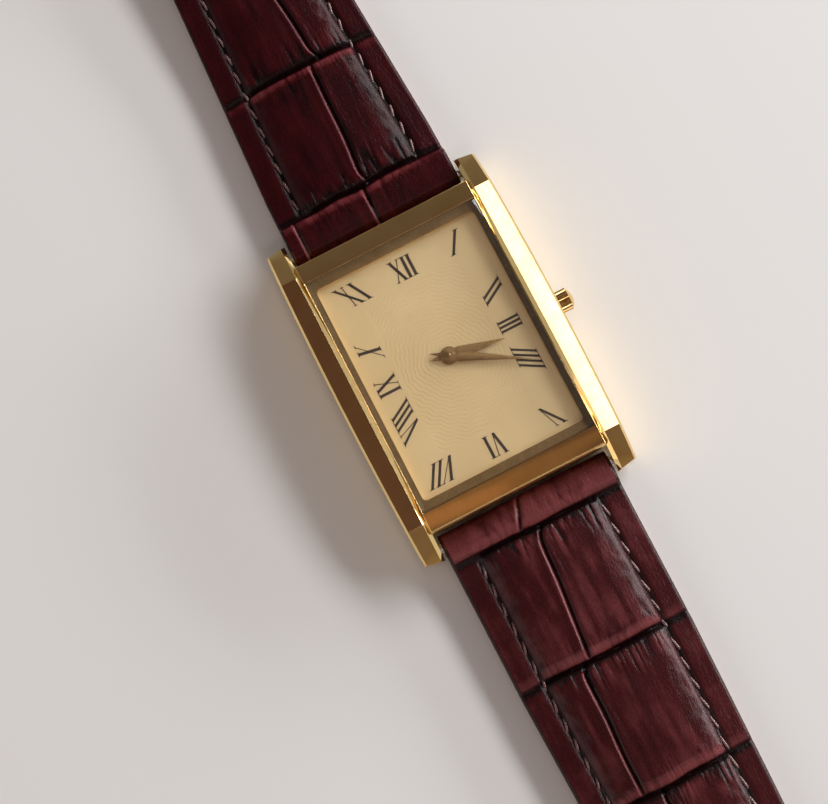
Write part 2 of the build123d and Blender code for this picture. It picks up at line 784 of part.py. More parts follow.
with BuildPart() as main_plate:
    with BuildSketch(Plane.XY.offset(plate_bottom)):
        RectangleRounded(movement_width, movement_length, movement_radius)
    extrude(amount=plate_top - plate_bottom)
    # Train pocket, from below
    with BuildSketch(Plane.XY.offset(plate_bottom)):
        with Locations(
            (
                (train_pocket_low_x + train_pocket_high_x) / 2,
                (train_pocket_low_y + train_pocket_high_y) / 2,
            )
        ):
            Rectangle(train_pocket_high_x - train_pocket_low_x, train_pocket_high_y - train_pocket_low_y)
    extrude(amount=train_roof - plate_bottom, mode=Mode.SUBTRACT)
    # Coil and stator pocket
    with BuildSketch(Plane.XY.offset(plate_bottom)):
        with Locations((coil_x, coil_y - pocket_clearance)):
            Rectangle(core_length + 2 * pocket_clearance, coil_diameter + 3 * pocket_clearance)
    extrude(amount=train_roof - plate_bottom, mode=Mode.SUBTRACT)
    with BuildSketch(Plane.XY.offset(plate_bottom)):
        with BuildLine():
            Polyline(*stator_outline, close=True)
        make_face()
        offset(amount=pocket_clearance, kind=Kind.INTERSECTION)
    extrude(amount=train_roof - plate_bottom, mode=Mode.SUBTRACT)
    with BuildSketch(Plane.XY.offset(train_roof)):
        with Locations((coil_x, coil_y)):
            Rectangle(coil_length + 2 * pocket_clearance, coil_diameter + 2 * pocket_clearance)
    extrude(amount=coil_roof_relief, mode=Mode.SUBTRACT)
    # Battery well
    with BuildSketch(Plane.XY.offset(plate_bottom)):
        with Locations((battery_x, battery_y)):
            Circle(battery_diameter / 2 + pocket_clearance / 2)
    extrude(amount=battery_top + insulator_thickness - plate_bottom, mode=Mode.SUBTRACT)
    # Stem channel
    with BuildSketch(Plane.XY.offset(plate_bottom)):
        with Locations(((stem_inner_end + movement_width / 2) / 2 - pocket_clearance, 0)):
            Rectangle(movement_width / 2 - stem_inner_end + 2 * pocket_clearance, stem_channel_width)
    extrude(amount=motion_floor - plate_bottom, mode=Mode.SUBTRACT)
    # Setting lever pocket
    with BuildSketch(Plane.XY.offset(plate_bottom)):
        with Locations((lever_pivot_x, lever_pivot_y / 2 + pocket_clearance)):
            Rectangle(2 * lever_head_diameter - pocket_clearance, lever_pivot_y + lever_head_diameter)
    extrude(amount=lever_bottom + lever_thickness + pocket_clearance - plate_bottom, mode=Mode.SUBTRACT)
    # Quartz can and chip pockets
    with BuildSketch(Plane.XY.offset(plate_bottom)):
        with Locations((can_x, can_y)):
            Rectangle(can_diameter + 2 * pocket_clearance, can_length + 2 * pocket_clearance)
    extrude(amount=can_diameter + pocket_clearance, mode=Mode.SUBTRACT)
    with BuildSketch(Plane.XY.offset(plate_bottom)):
        with Locations((chip_x, chip_y)):
            Rectangle(chip_side + 2 * pocket_clearance, chip_side + 2 * pocket_clearance)
    extrude(amount=chip_height + pocket_clearance, mode=Mode.SUBTRACT)
    # Motion works pocket, from the dial side
    with BuildSketch(Plane.XY.offset(motion_floor)):
        Circle(motion_pocket_radius)
        with Locations(minute_wheel_axis):
            Circle(motion_pocket_radius)
    extrude(amount=plate_top - motion_floor, mode=Mode.SUBTRACT)
    # Bridge screw holes
    with BuildSketch(Plane.XY.offset(plate_bottom)):
        with Locations(bridge_screw_places):
            Circle(bridge_screw_shank_diameter / 2)
    extrude(amount=bridge_bottom + bridge_screw_length - plate_bottom, mode=Mode.SUBTRACT)
    # Cannon bore, arbor bearings, the post of the minute wheel and the lever, dial foot and screw holes
    with BuildSketch(Plane.XY.offset(plate_bottom)):
        Circle(cannon_shank_diameter / 2 + pipe_clearance)
    extrude(amount=plate_top, mode=Mode.SUBTRACT)
    with BuildSketch(Plane.XY.offset(train_roof)):
        with Locations(third_axis, intermediate_axis, rotor_axis):
            Circle(arbor_diameter / 2 + pivot_clearance)
    extrude(amount=arbor_diameter, mode=Mode.SUBTRACT)
    with BuildSketch(Plane.XY.offset(motion_floor)):
        with Locations(minute_wheel_axis):
            Circle(minute_arbor_diameter / 2)
    extrude(amount=plate_top - motion_floor)
    with BuildSketch(Plane.XY.offset(dial_bottom)):
        with Locations((-dial_foot_x, -dial_foot_y), (dial_foot_x, dial_foot_y)):
            Circle(dial_foot_diameter / 2 + pivot_clearance)
    extrude(amount=-dial_foot_length - pivot_clearance, mode=Mode.SUBTRACT)
    with BuildSketch(Plane.XY.offset(lever_bottom)):
        with Locations((lever_pivot_x, lever_pivot_y)):
            Circle(lever_pivot_diameter / 2 - pivot_clearance)
    extrude(amount=lever_thickness + pocket_clearance)
main_plate.part.label = "main_plate"
export_step(main_plate.part, "parts/main_plate.step")

# Train bridge: a plate over the train with the lower bearings, and its screws
with BuildPart() as train_bridge:
    with BuildSketch(Plane.XY.offset(bridge_bottom)):
        with Locations(((bridge_low_x + bridge_high_x) / 2, (bridge_low_y + bridge_high_y) / 2)):
            RectangleRounded(bridge_high_x - bridge_low_x, bridge_high_y - bridge_low_y, bridge_margin)
        with Locations(center_axis):
            Circle(minute_arbor_diameter / 2 + pivot_clearance, mode=Mode.SUBTRACT)
        with Locations(third_axis, intermediate_axis, rotor_axis):
            Circle(arbor_diameter / 2 + pivot_clearance, mode=Mode.SUBTRACT)
        with Locations(bridge_screw_places):
            Circle(bridge_screw_shank_diameter / 2, mode=Mode.SUBTRACT)
    extrude(amount=bridge_thickness)
    with BuildSketch(Plane.XY.offset(bridge_bottom)):
        with Locations(bridge_screw_places):
            Circle(bridge_screw_head_diameter / 2)
    extrude(amount=bridge_screw_head_height, mode=Mode.SUBTRACT)
train_bridge.part.label = "train_bridge"
export_step(train_bridge.part, "parts/train_bridge.step")

with BuildPart() as bridge_screws:
    with BuildSketch(Plane.XY.offset(bridge_bottom)):
        with Locations(bridge_screw_places):
            Circle(bridge_screw_head_diameter / 2)
    extrude(amount=bridge_screw_head_height)
    with BuildSketch(Plane.XY.offset(bridge_bottom)):
        with Locations(bridge_screw_places):
            Circle(bridge_screw_shank_diameter / 2)
    extrude(amount=bridge_screw_length)
bridge_screws.part.label = "bridge_screws"
export_step(bridge_screws.part, "parts/bridge_screws.step")

# Battery: a button cell with a stepped cap, its insulator and the clamp that holds it
with BuildPart() as battery:
    with BuildSketch(Plane.XY.offset(battery_bottom + battery_cap_step)):
        with Locations((battery_x, battery_y)):
            Circle(battery_diameter / 2)
    extrude(amount=battery_height - battery_cap_step)
    with BuildSketch(Plane.XY.offset(battery_bottom)):
        with Locations((battery_x, battery_y)):
            Circle(battery_cap_diameter / 2)
    extrude(amount=battery_cap_step)
battery.part.label = "battery"
export_step(battery.part, "parts/battery.step")

with BuildPart() as battery_insulator:
    with BuildSketch(Plane.XY.offset(battery_top)):
        with Locations((battery_x, battery_y)):
            Circle(battery_diameter / 2)
    extrude(amount=insulator_thickness)
battery_insulator.part.label = "battery_insulator"
export_step(battery_insulator.part, "parts/battery_insulator.step")

clamp_high_x = battery_x + battery_diameter / 2 + clamp_width
with BuildPart() as battery_clamp:
    with BuildSketch(Plane.XY.offset(battery_bottom - clamp_thickness)):
        with Locations(((battery_x + clamp_high_x) / 2, battery_y)):
            RectangleRounded(clamp_high_x - battery_x, clamp_width, clamp_radius)
    extrude(amount=clamp_thickness)
battery_clamp.part.label = "battery_clamp"
export_step(battery_clamp.part, "parts/battery_clamp.step")

# Circuit board with the quartz can and the chip
with BuildPart() as circuit_board:
    with BuildSketch(Plane.XY.offset(board_bottom)):
        with Locations(((board_x_low + board_x_high) / 2, (board_y_low + board_y_high) / 2)):
            Rectangle(board_x_high - board_x_low, board_y_high - board_y_low)
        with Locations((battery_x, battery_y)):
            Circle(battery_diameter / 2 + pocket_clearance, mode=Mode.SUBTRACT)
        with Locations((board_x_high, board_y_low)):
            Rectangle(2 * movement_radius, 2 * movement_radius, rotation=45, mode=Mode.SUBTRACT)
    extrude(amount=board_thickness)
circuit_board.part.label = "circuit_board"
export_step(circuit_board.part, "parts/circuit_board.step")

with BuildPart() as quartz_can:
    with BuildSketch(Plane.XZ.offset(-(can_y - can_length / 2))):
        with Locations((can_x, plate_bottom + can_diameter / 2)):
            Circle(can_diameter / 2)
    extrude(amount=-can_length)
quartz_can.part.label = "quartz_can"
export_step(quartz_can.part, "parts/quartz_can.step")

with BuildPart() as driver_chip:
    with BuildSketch(Plane.XY.offset(plate_bottom)):
        with Locations((chip_x, chip_y)):
            Rectangle(chip_side, chip_side)
    extrude(amount=chip_height)
driver_chip.part.label = "driver_chip"
export_step(driver_chip.part, "parts/driver_chip.step")

# Coil on its core, and the stator that carries its field to the rotor
coil_level = core_bottom + core_thickness / 2
with BuildPart() as coil_core:
    with BuildSketch(Plane.XY.offset(core_bottom)):
        with Locations((coil_x, coil_y)):
            Rectangle(core_length, core_width)
    extrude(amount=core_thickness)
coil_core.part.label = "coil_core"
export_step(coil_core.part, "parts/coil_core.step")

with BuildPart() as coil_winding:
    with BuildSketch(Plane.YZ.offset(coil_x - coil_length / 2)):
        with Locations((coil_y, coil_level)):
            Circle(coil_diameter / 2)
            Rectangle(core_width, core_thickness, mode=Mode.SUBTRACT)
    extrude(amount=coil_length)
coil_winding.part.label = "coil_winding"
export_step(coil_winding.part, "parts/coil_winding.step")

with BuildPart() as stator:
    with BuildSketch(Plane.XY.offset(stator_bottom)):
        with BuildLine():
            Polyline(*stator_outline, close=True)
        make_face()
        with Locations(rotor_axis):
            Circle(stator_ring_radius)
            Circle(rotor_magnet_diameter / 2 + rotor_gap, mode=Mode.SUBTRACT)
        with Locations(intermediate_axis):
            Circle(arbor_diameter / 2 + 2 * pocket_clearance, mode=Mode.SUBTRACT)
    extrude(amount=stator_thickness)
stator.part.label = "stator"
export_step(stator.part, "parts/stator.step")


# Train wheels: a toothed wheel and a pinion on one arbor, pivoted in the bridge and the plate
def wheel(name, axis, wheel_gear, wheel_level, pinion_gear, pinion_level):
    with BuildPart() as mobile:
        for gear, level, height in (
            (wheel_gear, wheel_level, wheel_thickness),
            (pinion_gear, pinion_level, pinion_length),
        ):
            with BuildSketch(Plane.XY.offset(level)):
                with BuildLine():
                    Polyline(*gear, close=True)
                make_face()
            extrude(amount=height)
        with BuildSketch(Plane.XY.offset(bridge_bottom + pivot_clearance)):
            with Locations(axis):
                Circle(arbor_diameter / 2)
        extrude(amount=train_roof + arbor_diameter - pivot_clearance - bridge_bottom - pivot_clearance)
    mobile.part.label = name
    export_step(mobile.part, f"parts/{name}.step")


third_pinion_turn = mesh_turn(third_pinion_teeth, center_teeth, third_bearing_degrees + 180)
third_gear = gear_outline(third_axis, third_teeth, third_module)
third_pinion = gear_outline(third_axis, third_pinion_teeth, center_module, third_pinion_turn)
intermediate_pinion_turn = mesh_turn(
    intermediate_pinion_teeth, third_teeth, intermediate_bearing_degrees + 180
)
intermediate_gear = gear_outline(intermediate_axis, intermediate_teeth, intermediate_module)
intermediate_pinion = gear_outline(
    intermediate_axis, intermediate_pinion_teeth, third_module, intermediate_pinion_turn
)
rotor_pinion_turn = mesh_turn(rotor_teeth, intermediate_teeth, rotor_bearing_degrees + 180)
rotor_pinion = gear_outline(rotor_axis, rotor_teeth, intermediate_module, rotor_pinion_turn)
pinion_lead = (pinion_length - wheel_thickness) / 2
wheel("third_wheel", third_axis, third_gear, third_level, third_pinion, center_level - pinion_lead)
wheel(
    "intermediate_wheel",
    intermediate_axis,
    intermediate_gear,
    intermediate_level,
    intermediate_pinion,
    third_level - pinion_lead,
)

# Rotor: a disc magnet over its pinion
with BuildPart() as rotor:
    with BuildSketch(Plane.XY.offset(intermediate_level - pinion_lead)):
        with BuildLine():
            Polyline(*rotor_pinion, close=True)
        make_face()
    extrude(amount=pinion_length)
    with BuildSketch(Plane.XY.offset(stator_bottom)):
        with Locations(rotor_axis):
            Circle(rotor_magnet_diameter / 2)
    extrude(amount=rotor_magnet_height)
    with BuildSketch(Plane.XY.offset(bridge_bottom + pivot_clearance)):
        with Locations(rotor_axis):
            Circle(arbor_diameter / 2)
    extrude(amount=train_roof + arbor_diameter - pivot_clearance - bridge_bottom - pivot_clearance)
rotor.part.label = "rotor"
export_step(rotor.part, "parts/rotor.step")

# Center wheel: the driven wheel below, the cannon pinion and the tube of the minute hand above
with BuildPart() as center_wheel:
    with BuildSketch(Plane.XY.offset(center_level)):
        with BuildLine():
            Polyline(*gear_outline(center_axis, center_teeth, center_module), close=True)
        make_face()
    extrude(amount=wheel_thickness)
    with BuildSketch(Plane.XY.offset(bridge_bottom + pivot_clearance)):
        Circle(minute_arbor_diameter / 2)
    extrude(amount=center_level - bridge_bottom - pivot_clearance)
    with BuildSketch(Plane.XY.offset(center_level)):
        Circle(cannon_shank_diameter / 2)
    extrude(amount=cannon_level - center_level)
    with BuildSketch(Plane.XY.offset(cannon_level)):
        with BuildLine():
            Polyline(*gear_outline(center_axis, cannon_teeth, cannon_module), close=True)
        make_face()
    extrude(amount=motion_gear_thickness + pipe_clearance)
    with BuildSketch(Plane.XY.offset(cannon_level)):
        Circle(cannon_tube_diameter / 2)
    extrude(amount=cannon_top - cannon_level)
center_wheel.part.label = "center_wheel"
export_step(center_wheel.part, "parts/center_wheel.step")

# Minute wheel on its post, with the pinion that drives the hour wheel
minute_wheel_turn = mesh_turn(minute_wheel_teeth, cannon_teeth, minute_wheel_bearing_degrees + 180)
hour_wheel_turn = mesh_turn(hour_wheel_teeth, minute_pinion_teeth, minute_wheel_bearing_degrees)
minute_wheel_level = cannon_level + pipe_clearance / 2
with BuildPart() as minute_wheel:
    for gear, level, height in (
        (
            gear_outline(minute_wheel_axis, minute_wheel_teeth, cannon_module, minute_wheel_turn),
            minute_wheel_level,
            motion_gear_thickness,
        ),
        (
            gear_outline(minute_wheel_axis, minute_pinion_teeth, hour_module),
            minute_wheel_level + motion_gear_thickness,
            hour_level - minute_wheel_level,
        ),
    ):
        with BuildSketch(Plane.XY.offset(level)):
            with BuildLine():
                Polyline(*gear, close=True)
            make_face()
            with Locations(minute_wheel_axis):
                Circle(minute_arbor_diameter / 2 + pivot_clearance, mode=Mode.SUBTRACT)
        extrude(amount=height)
minute_wheel.part.label = "minute_wheel"
export_step(minute_wheel.part, "parts/minute_wheel.step")

with BuildPart() as hour_wheel:
    with BuildSketch(Plane.XY.offset(hour_level)):
        with BuildLine():
            Polyline(*gear_outline(center_axis, hour_wheel_teeth, hour_module, hour_wheel_turn), close=True)
        make_face()
    extrude(amount=motion_gear_thickness)
    with BuildSketch(Plane.XY.offset(hour_level)):
        Circle(hour_pipe_diameter / 2)
    extrude(amount=hour_pipe_top - hour_level)
    with BuildSketch(Plane.XY.offset(hour_level)):
        Circle(cannon_tube_diameter / 2 + pipe_clearance)
    extrude(amount=hour_pipe_top - hour_level, mode=Mode.SUBTRACT)
hour_wheel.part.label = "hour_wheel"
export_step(hour_wheel.part, "parts/hour_wheel.step")

with BuildPart() as dial_washer:
    with BuildSketch(Plane.XY.offset(dial_bottom - pipe_clearance - washer_thickness)):
        Circle(washer_diameter / 2)
        Circle(hour_pipe_diameter / 2 + pipe_clearance, mode=Mode.SUBTRACT)
    extrude(amount=washer_thickness)
dial_washer.part.label = "dial_washer"
export_step(dial_washer.part, "parts/dial_washer.step")

# Keyless works: setting lever, clutch wheel and stem
with BuildPart() as setting_lever:
    with BuildSketch(Plane.XY.offset(lever_bottom)):
        with Locations((lever_pivot_x, lever_pivot_y)):
            Circle(lever_head_diameter / 2)
        with Locations((lever_pivot_x, lever_pivot_y / 2)):
            SlotCenterToCenter(lever_pivot_y, lever_width, rotation=90)
        with Locations((lever_pivot_x, lever_pivot_y)):
            Circle(lever_pivot_diameter / 2, mode=Mode.SUBTRACT)
    extrude(amount=lever_thickness)
    with BuildSketch(Plane.XY.offset(lever_bottom + lever_thickness)):
        with Locations((lever_pivot_x, 0)):
            Circle(lever_pin_diameter / 2)
    extrude(amount=stem_level - stem_groove_diameter / 2 - pivot_clearance - lever_bottom - lever_thickness)
setting_lever.part.label = "setting_lever"
export_step(setting_lever.part, "parts/setting_lever.step")

stem_square = stem_diameter / 2**0.5
with BuildPart() as clutch_wheel:
    with BuildSketch(Plane.YZ.offset(clutch_x)):
        with Locations((0, stem_level)):
            Circle(clutch_diameter / 2)
            Rectangle(stem_square + pivot_clearance, stem_square + pivot_clearance, mode=Mode.SUBTRACT)
    extrude(amount=clutch_length)
    with BuildSketch(Plane.YZ.offset(clutch_x)):
        with Locations((0, stem_level)):
            with PolarLocations(clutch_diameter / 2, clutch_teeth):
                Rectangle(clutch_tooth_length, clutch_tooth_depth)
    extrude(amount=clutch_tooth_depth, mode=Mode.SUBTRACT)
clutch_wheel.part.label = "clutch_wheel"
export_step(clutch_wheel.part, "parts/clutch_wheel.step")

crown_inner = case_width / 2 + crown_gap
crown_outer = crown_inner + crown_length
stem_outer_end = crown_outer - crown_dome - crown_gap
stem_square_end = stem_groove_x - stem_groove_width / 2
crown_flute_side = crown_flute_depth * 2**0.5
with BuildPart() as winding_stem:
    with BuildSketch(Plane.YZ.offset(stem_inner_end)):
        with Locations((0, stem_level)):
            Rectangle(stem_square, stem_square)
    extrude(amount=stem_square_end - stem_inner_end)
    with BuildSketch(Plane.YZ.offset(stem_square_end)):
        with Locations((0, stem_level)):
            Circle(stem_groove_diameter / 2)
    extrude(amount=stem_groove_width)
    with BuildSketch(Plane.YZ.offset(stem_groove_x + stem_groove_width / 2)):
        with Locations((0, stem_level)):
            Circle(stem_diameter / 2)
    extrude(amount=stem_outer_end - stem_groove_x - stem_groove_width / 2)
winding_stem.part.label = "winding_stem"
export_step(winding_stem.part, "parts/winding_stem.step")

# Crown: fluted, with a domed end, a well for its tube and a seal in the well
with BuildPart() as crown:
    with BuildSketch(Plane.XZ):
        with BuildLine():
            radius = crown_diameter / 2
            Line((crown_inner, stem_level), (crown_inner, stem_level + radius))
            Line((crown_inner, stem_level + radius), (crown_outer - crown_dome, stem_level + radius))
            RadiusArc(
                (crown_outer - crown_dome, stem_level + radius),
                (crown_outer, stem_level),
                (radius**2 + crown_dome**2) / (2 * crown_dome),
            )
            Line((crown_outer, stem_level), (crown_inner, stem_level))
        make_face()
    revolve(axis=Axis((0, 0, stem_level), (1, 0, 0)))
    with BuildSketch(Plane.YZ.offset(crown_inner)):
        with Locations((0, stem_level)):
            with PolarLocations(crown_diameter / 2, crown_flutes):
                Rectangle(crown_flute_side, crown_flute_side, rotation=45)
    extrude(amount=crown_length - crown_dome, mode=Mode.SUBTRACT)
    with BuildSketch(Plane.YZ.offset(crown_inner)):
        with Locations((0, stem_level)):
            Circle(crown_cavity_diameter / 2)
    extrude(amount=crown_cavity_depth, mode=Mode.SUBTRACT)
    with BuildSketch(Plane.YZ.offset(crown_inner)):
        with Locations((0, stem_level)):
            Circle(stem_diameter / 2)
    extrude(amount=stem_outer_end - crown_inner, mode=Mode.SUBTRACT)
crown.part.label = "crown"
export_step(crown.part, "parts/crown.step")

with BuildPart() as crown_gasket:
    with BuildSketch(Plane.YZ.offset(crown_inner + crown_gap)):
        with Locations((0, stem_level)):
            Circle(crown_cavity_diameter / 2)
            Circle(crown_tube_diameter / 2 + crown_gasket_clearance, mode=Mode.SUBTRACT)
    extrude(amount=crown_gasket_length)
crown_gasket.part.label = "crown_gasket"
export_step(crown_gasket.part, "parts/crown_gasket.step")

with BuildPart() as crown_tube:
    with BuildSketch(Plane.YZ.offset(crown_tube_root)):
        with Locations((0, stem_level)):
            Circle(crown_tube_diameter / 2)
            Circle(crown_tube_bore / 2, mode=Mode.SUBTRACT)
    extrude(amount=case_width / 2 + crown_tube_reach - crown_tube_root)
crown_tube.part.label = "crown_tube"
export_step(crown_tube.part, "parts/crown_tube.step")


# Spring bars: a tube, and a sprung tip with a flange at each end
def spring_bar(tube_name, tip_names, place_y, level, tube_length, seat_x):
    with BuildPart() as tube:
        with BuildSketch(Plane.YZ.offset(-tube_length / 2)):
            with Locations((place_y, level)):
                Circle(bar_tube_diameter / 2)
                Circle(bar_tube_bore / 2, mode=Mode.SUBTRACT)
        extrude(amount=tube_length)
    tube.part.label = tube_name
    export_step(tube.part, f"parts/{tube_name}.step")
    flange_x = seat_x - bar_end_gap - bar_flange_thickness
    for side, tip_name in tip_names:
        with BuildPart() as tip:
            for start, length, diameter in (
                (flange_x - bar_shank_length, bar_shank_length, bar_shank_diameter),
                (flange_x, bar_flange_thickness, bar_flange_diameter),
                (flange_x + bar_flange_thickness, bar_end_gap + bar_pin_length, bar_pin_diameter),
            ):
                with BuildSketch(Plane.YZ.offset(side * start)):
                    with Locations((place_y, level)):
                        Circle(diameter / 2)
                extrude(amount=side * length)
        tip.part.label = tip_name
        export_step(tip.part, f"parts/{tip_name}.step")


spring_bar(
    "bar_tube_12",
    ((1, "bar_tip_12_right"), (-1, "bar_tip_12_left")),
    bar_y,
    bar_level,
    bar_tube_length,
    rail_inner,
)
spring_bar(
    "bar_tube_6",
    ((1, "bar_tip_6_right"), (-1, "bar_tip_6_left")),
    -bar_y,
    bar_level,
    bar_tube_length,
    rail_inner,
)
buckle_y = bar_y + short_length
spring_bar(
    "buckle_bar_tube",
    ((1, "buckle_bar_tip_right"), (-1, "buckle_bar_tip_left")),
    buckle_y,
    buckle_level,
    buckle_tube_length,
    buckle_inner_width / 2,
)

# Strap: height, width and thickness along it, as places counted from the lug bar
nose_bottom = bar_level - strap_nose_radius
end_nose_radius = buckle_level - keeper_wall - strap_end_lift
short_width_places = (
    (0, strap_lug_width),
    (lining_start, strap_lug_width),
    (short_taper_start, strap_lug_width - strap_first_narrowing),
    (short_taper_middle, strap_middle_width),
    (short_taper_end, strap_end_width),
    (short_length, strap_end_width),
)
long_width_places = (
    (0, strap_lug_width),
    (lining_start, strap_lug_width),
    (long_taper_start, strap_lug_width - strap_first_narrowing),
    (long_taper_middle, strap_middle_width),
    (long_taper_end, strap_end_width),
    (long_length, strap_end_width),
)
short_floor_places = (
    (0, nose_bottom),
    (strap_landing, 0),
    (short_lift_start, 0),
    (short_lift_end, buckle_level - end_nose_radius),
    (short_length, buckle_level - end_nose_radius),
)
long_floor_places = ((0, nose_bottom), (strap_landing, 0), (long_length, 0))
short_body_places = (
    (0, 2 * strap_nose_radius),
    (strap_landing, strap_padded_thickness),
    (short_pad_end, strap_middle_thickness),
    (short_lift_end + row_pitch, 2 * end_nose_radius),
    (short_length, 2 * end_nose_radius),
)
long_body_places = (
    (0, 2 * strap_nose_radius),
    (strap_landing, strap_padded_thickness),
    (long_pad_end, strap_middle_thickness),
    (hole_first - hole_pitch, strap_flat_thickness),
    (long_length, strap_flat_thickness),
)


def along(places, distance):
    """Value at a distance from the bar, in straight lines between the given places."""
    for (near, near_value), (far, far_value) in zip(places, places[1:]):
        if distance <= far:
            return near_value + (far_value - near_value) * (distance - near) / (far - near)
    return places[-1][1]


def strap_sections(length, roll, width_places, floor_places, body_places, start):
    """Distance, width, floor, edge top and crown top along a strap half, dipping at each row crease."""
    dips = {}
    crease = roll
    while crease < length - row_shoulder_half:
        for offset, share in (
            (-row_shoulder_half, 0),
            (-row_groove_half, row_shoulder_share),
            (0, 1),
            (row_groove_half, row_shoulder_share),
            (row_shoulder_half, 0),
        ):
            dips[crease + offset] = share
        crease += row_pitch
    corners = {place for places in (width_places, floor_places, body_places) for place, _ in places}
    stations = sorted(dips.keys() | {corner for corner in corners if corner <= length} | {start})
    sections = []
    for distance in stations:
        if distance < start or (sections and distance - sections[-1][0] < station_spacing):
            continue
        body = along(body_places, distance)
        dip = dips.get(distance, 0) * groove_share * (body - lining_thickness)
        floor = along(floor_places, distance)
        crown = (body - strap_edge_thickness) * crown_share
        top = floor + body - dip
        sections.append((distance, along(width_places, distance), floor, top - crown, top))
    return sections


# What is cut from the long half: the corners beside its tip, and the holes for the tongue
tip_start_y = -(bar_y + long_length - strap_tip_length)
tip_end_y = -(bar_y + long_length)
waste_height = 2 * strap_padded_thickness
with BuildPart() as strap_tip_waste:
    with BuildSketch(Plane.XY.offset(-cut_overrun)):
        with Locations((0, tip_end_y)):
            Rectangle(strap_lug_width, 2 * strap_tip_length)
        with BuildLine():
            swell = (
                strap_tip_swell_share * strap_end_width / 2,
                tip_start_y - strap_tip_length / 2,
            )
            Line((-strap_end_width / 2, tip_start_y), (strap_end_width / 2, tip_start_y))
            ThreePointArc((strap_end_width / 2, tip_start_y), swell, (strap_tip_flat / 2, tip_end_y))
            Line((strap_tip_flat / 2, tip_end_y), (-strap_tip_flat / 2, tip_end_y))
            ThreePointArc(
                (-strap_tip_flat / 2, tip_end_y), (-swell[0], swell[1]), (-strap_end_width / 2, tip_start_y)
            )
        make_face(mode=Mode.SUBTRACT)
    extrude(amount=waste_height)

with BuildPart() as strap_hole_waste:
    with BuildSketch(Plane.XY.offset(-cut_overrun)):
        with Locations([(0, -(bar_y + hole_first + hole * hole_pitch)) for hole in range(hole_count)]):
            Circle(hole_diameter / 2)
    extrude(amount=waste_height)


def strap_half(side, name, length, roll, width_places, floor_places, body_places):
    """Padded top leather and flat lining of one strap half; side is 1 at 12 o'clock and -1 at 6 o'clock."""
    with BuildPart() as top:
        for distance, width, floor, edge, crest in strap_sections(
            length, roll, width_places, floor_places, body_places, 0
        ):
            underside = floor + (lining_thickness if distance >= lining_start else 0)
            with BuildSketch(Plane.XZ.offset(-side * (bar_y + distance))):
                with BuildLine():
                    Polyline(
                        (-width / 2, edge),
                        (-width / 2, underside),
                        (width / 2, underside),
                        (width / 2, edge),
                    )
                    ThreePointArc((width / 2, edge), (0, crest), (-width / 2, edge))
                make_face()
        loft(ruled=True)
        with BuildSketch(Plane.YZ.offset(-strap_lug_width / 2)):
            with Locations((side * bar_y, bar_level)):
                Circle(strap_nose_radius)
        extrude(amount=strap_lug_width)
        with BuildSketch(Plane.YZ.offset(-strap_lug_width / 2)):
            with Locations((side * bar_y, bar_level)):
                Circle(bar_tube_diameter / 2 + strap_bore_clearance)
        extrude(amount=strap_lug_width, mode=Mode.SUBTRACT)
        if side > 0:
            with BuildSketch(Plane.YZ.offset(-strap_end_width / 2)):
                with Locations((buckle_y, buckle_level)):
                    Circle(end_nose_radius)
            extrude(amount=strap_end_width)
            with BuildSketch(Plane.YZ.offset(-strap_end_width / 2)):
                with Locations((buckle_y, buckle_level)):
                    Circle(bar_tube_diameter / 2 + strap_bore_clearance)
            extrude(amount=strap_end_width, mode=Mode.SUBTRACT)
            with BuildSketch(Plane.XY):
                with Locations((0, buckle_y)):
                    Rectangle(tongue_slot_width, tongue_slot_length)
            extrude(amount=buckle_level + strap_padded_thickness, mode=Mode.SUBTRACT)
        else:
            add(strap_tip_waste.part, mode=Mode.SUBTRACT)
            add(strap_hole_waste.part, mode=Mode.SUBTRACT)
    top.part.label = f"{name}_top"
    export_step(top.part, f"parts/{name}_top.step")
    with BuildPart() as lining:
        lining_end = length - lining_end_inset if side > 0 else length
        lining_corners = sorted(
            {place for places in (width_places, floor_places) for place, _ in places if place < lining_end}
            | {lining_start, lining_end}
        )
        for distance in lining_corners:
            if distance < lining_start:
                continue
            floor = along(floor_places, distance)
            width = along(width_places, distance)
            with BuildSketch(Plane.XZ.offset(-side * (bar_y + distance))):
                with Locations((0, floor + lining_thickness / 2)):
                    Rectangle(width, lining_thickness)
        loft(ruled=True)
        if side < 0:
            add(strap_tip_waste.part, mode=Mode.SUBTRACT)
            add(strap_hole_waste.part, mode=Mode.SUBTRACT)
    lining.part.label = f"{name}_lining"
    export_step(lining.part, f"parts/{name}_lining.step")


strap_half(
    1, "short_strap", short_length, short_roll, short_width_places, short_floor_places, short_body_places
)
strap_half(-1, "long_strap", long_length, long_roll, long_width_places, long_floor_places, long_body_places)


# Keepers: leather loops round the strap, one sewn on near the buckle and one that slides
def keeper(name, distance):
    outer_width = keeper_inner_width + 2 * keeper_wall
    outer_height = keeper_inner_height + 2 * keeper_wall
    with BuildPart() as loop:
        with BuildSketch(Plane.XZ.offset(-(bar_y + distance - keeper_length / 2))):
            with Locations((0, outer_height / 2)):
                RectangleRounded(outer_width, outer_height, keeper_radius + keeper_wall)
                RectangleRounded(keeper_inner_width, keeper_inner_height, keeper_radius, mode=Mode.SUBTRACT)
        extrude(amount=-keeper_length)
    loop.part.label = name
    export_step(loop.part, f"parts/{name}.step")


keeper("fixed_keeper", fixed_keeper_centre)
keeper("free_keeper", free_keeper_centre)

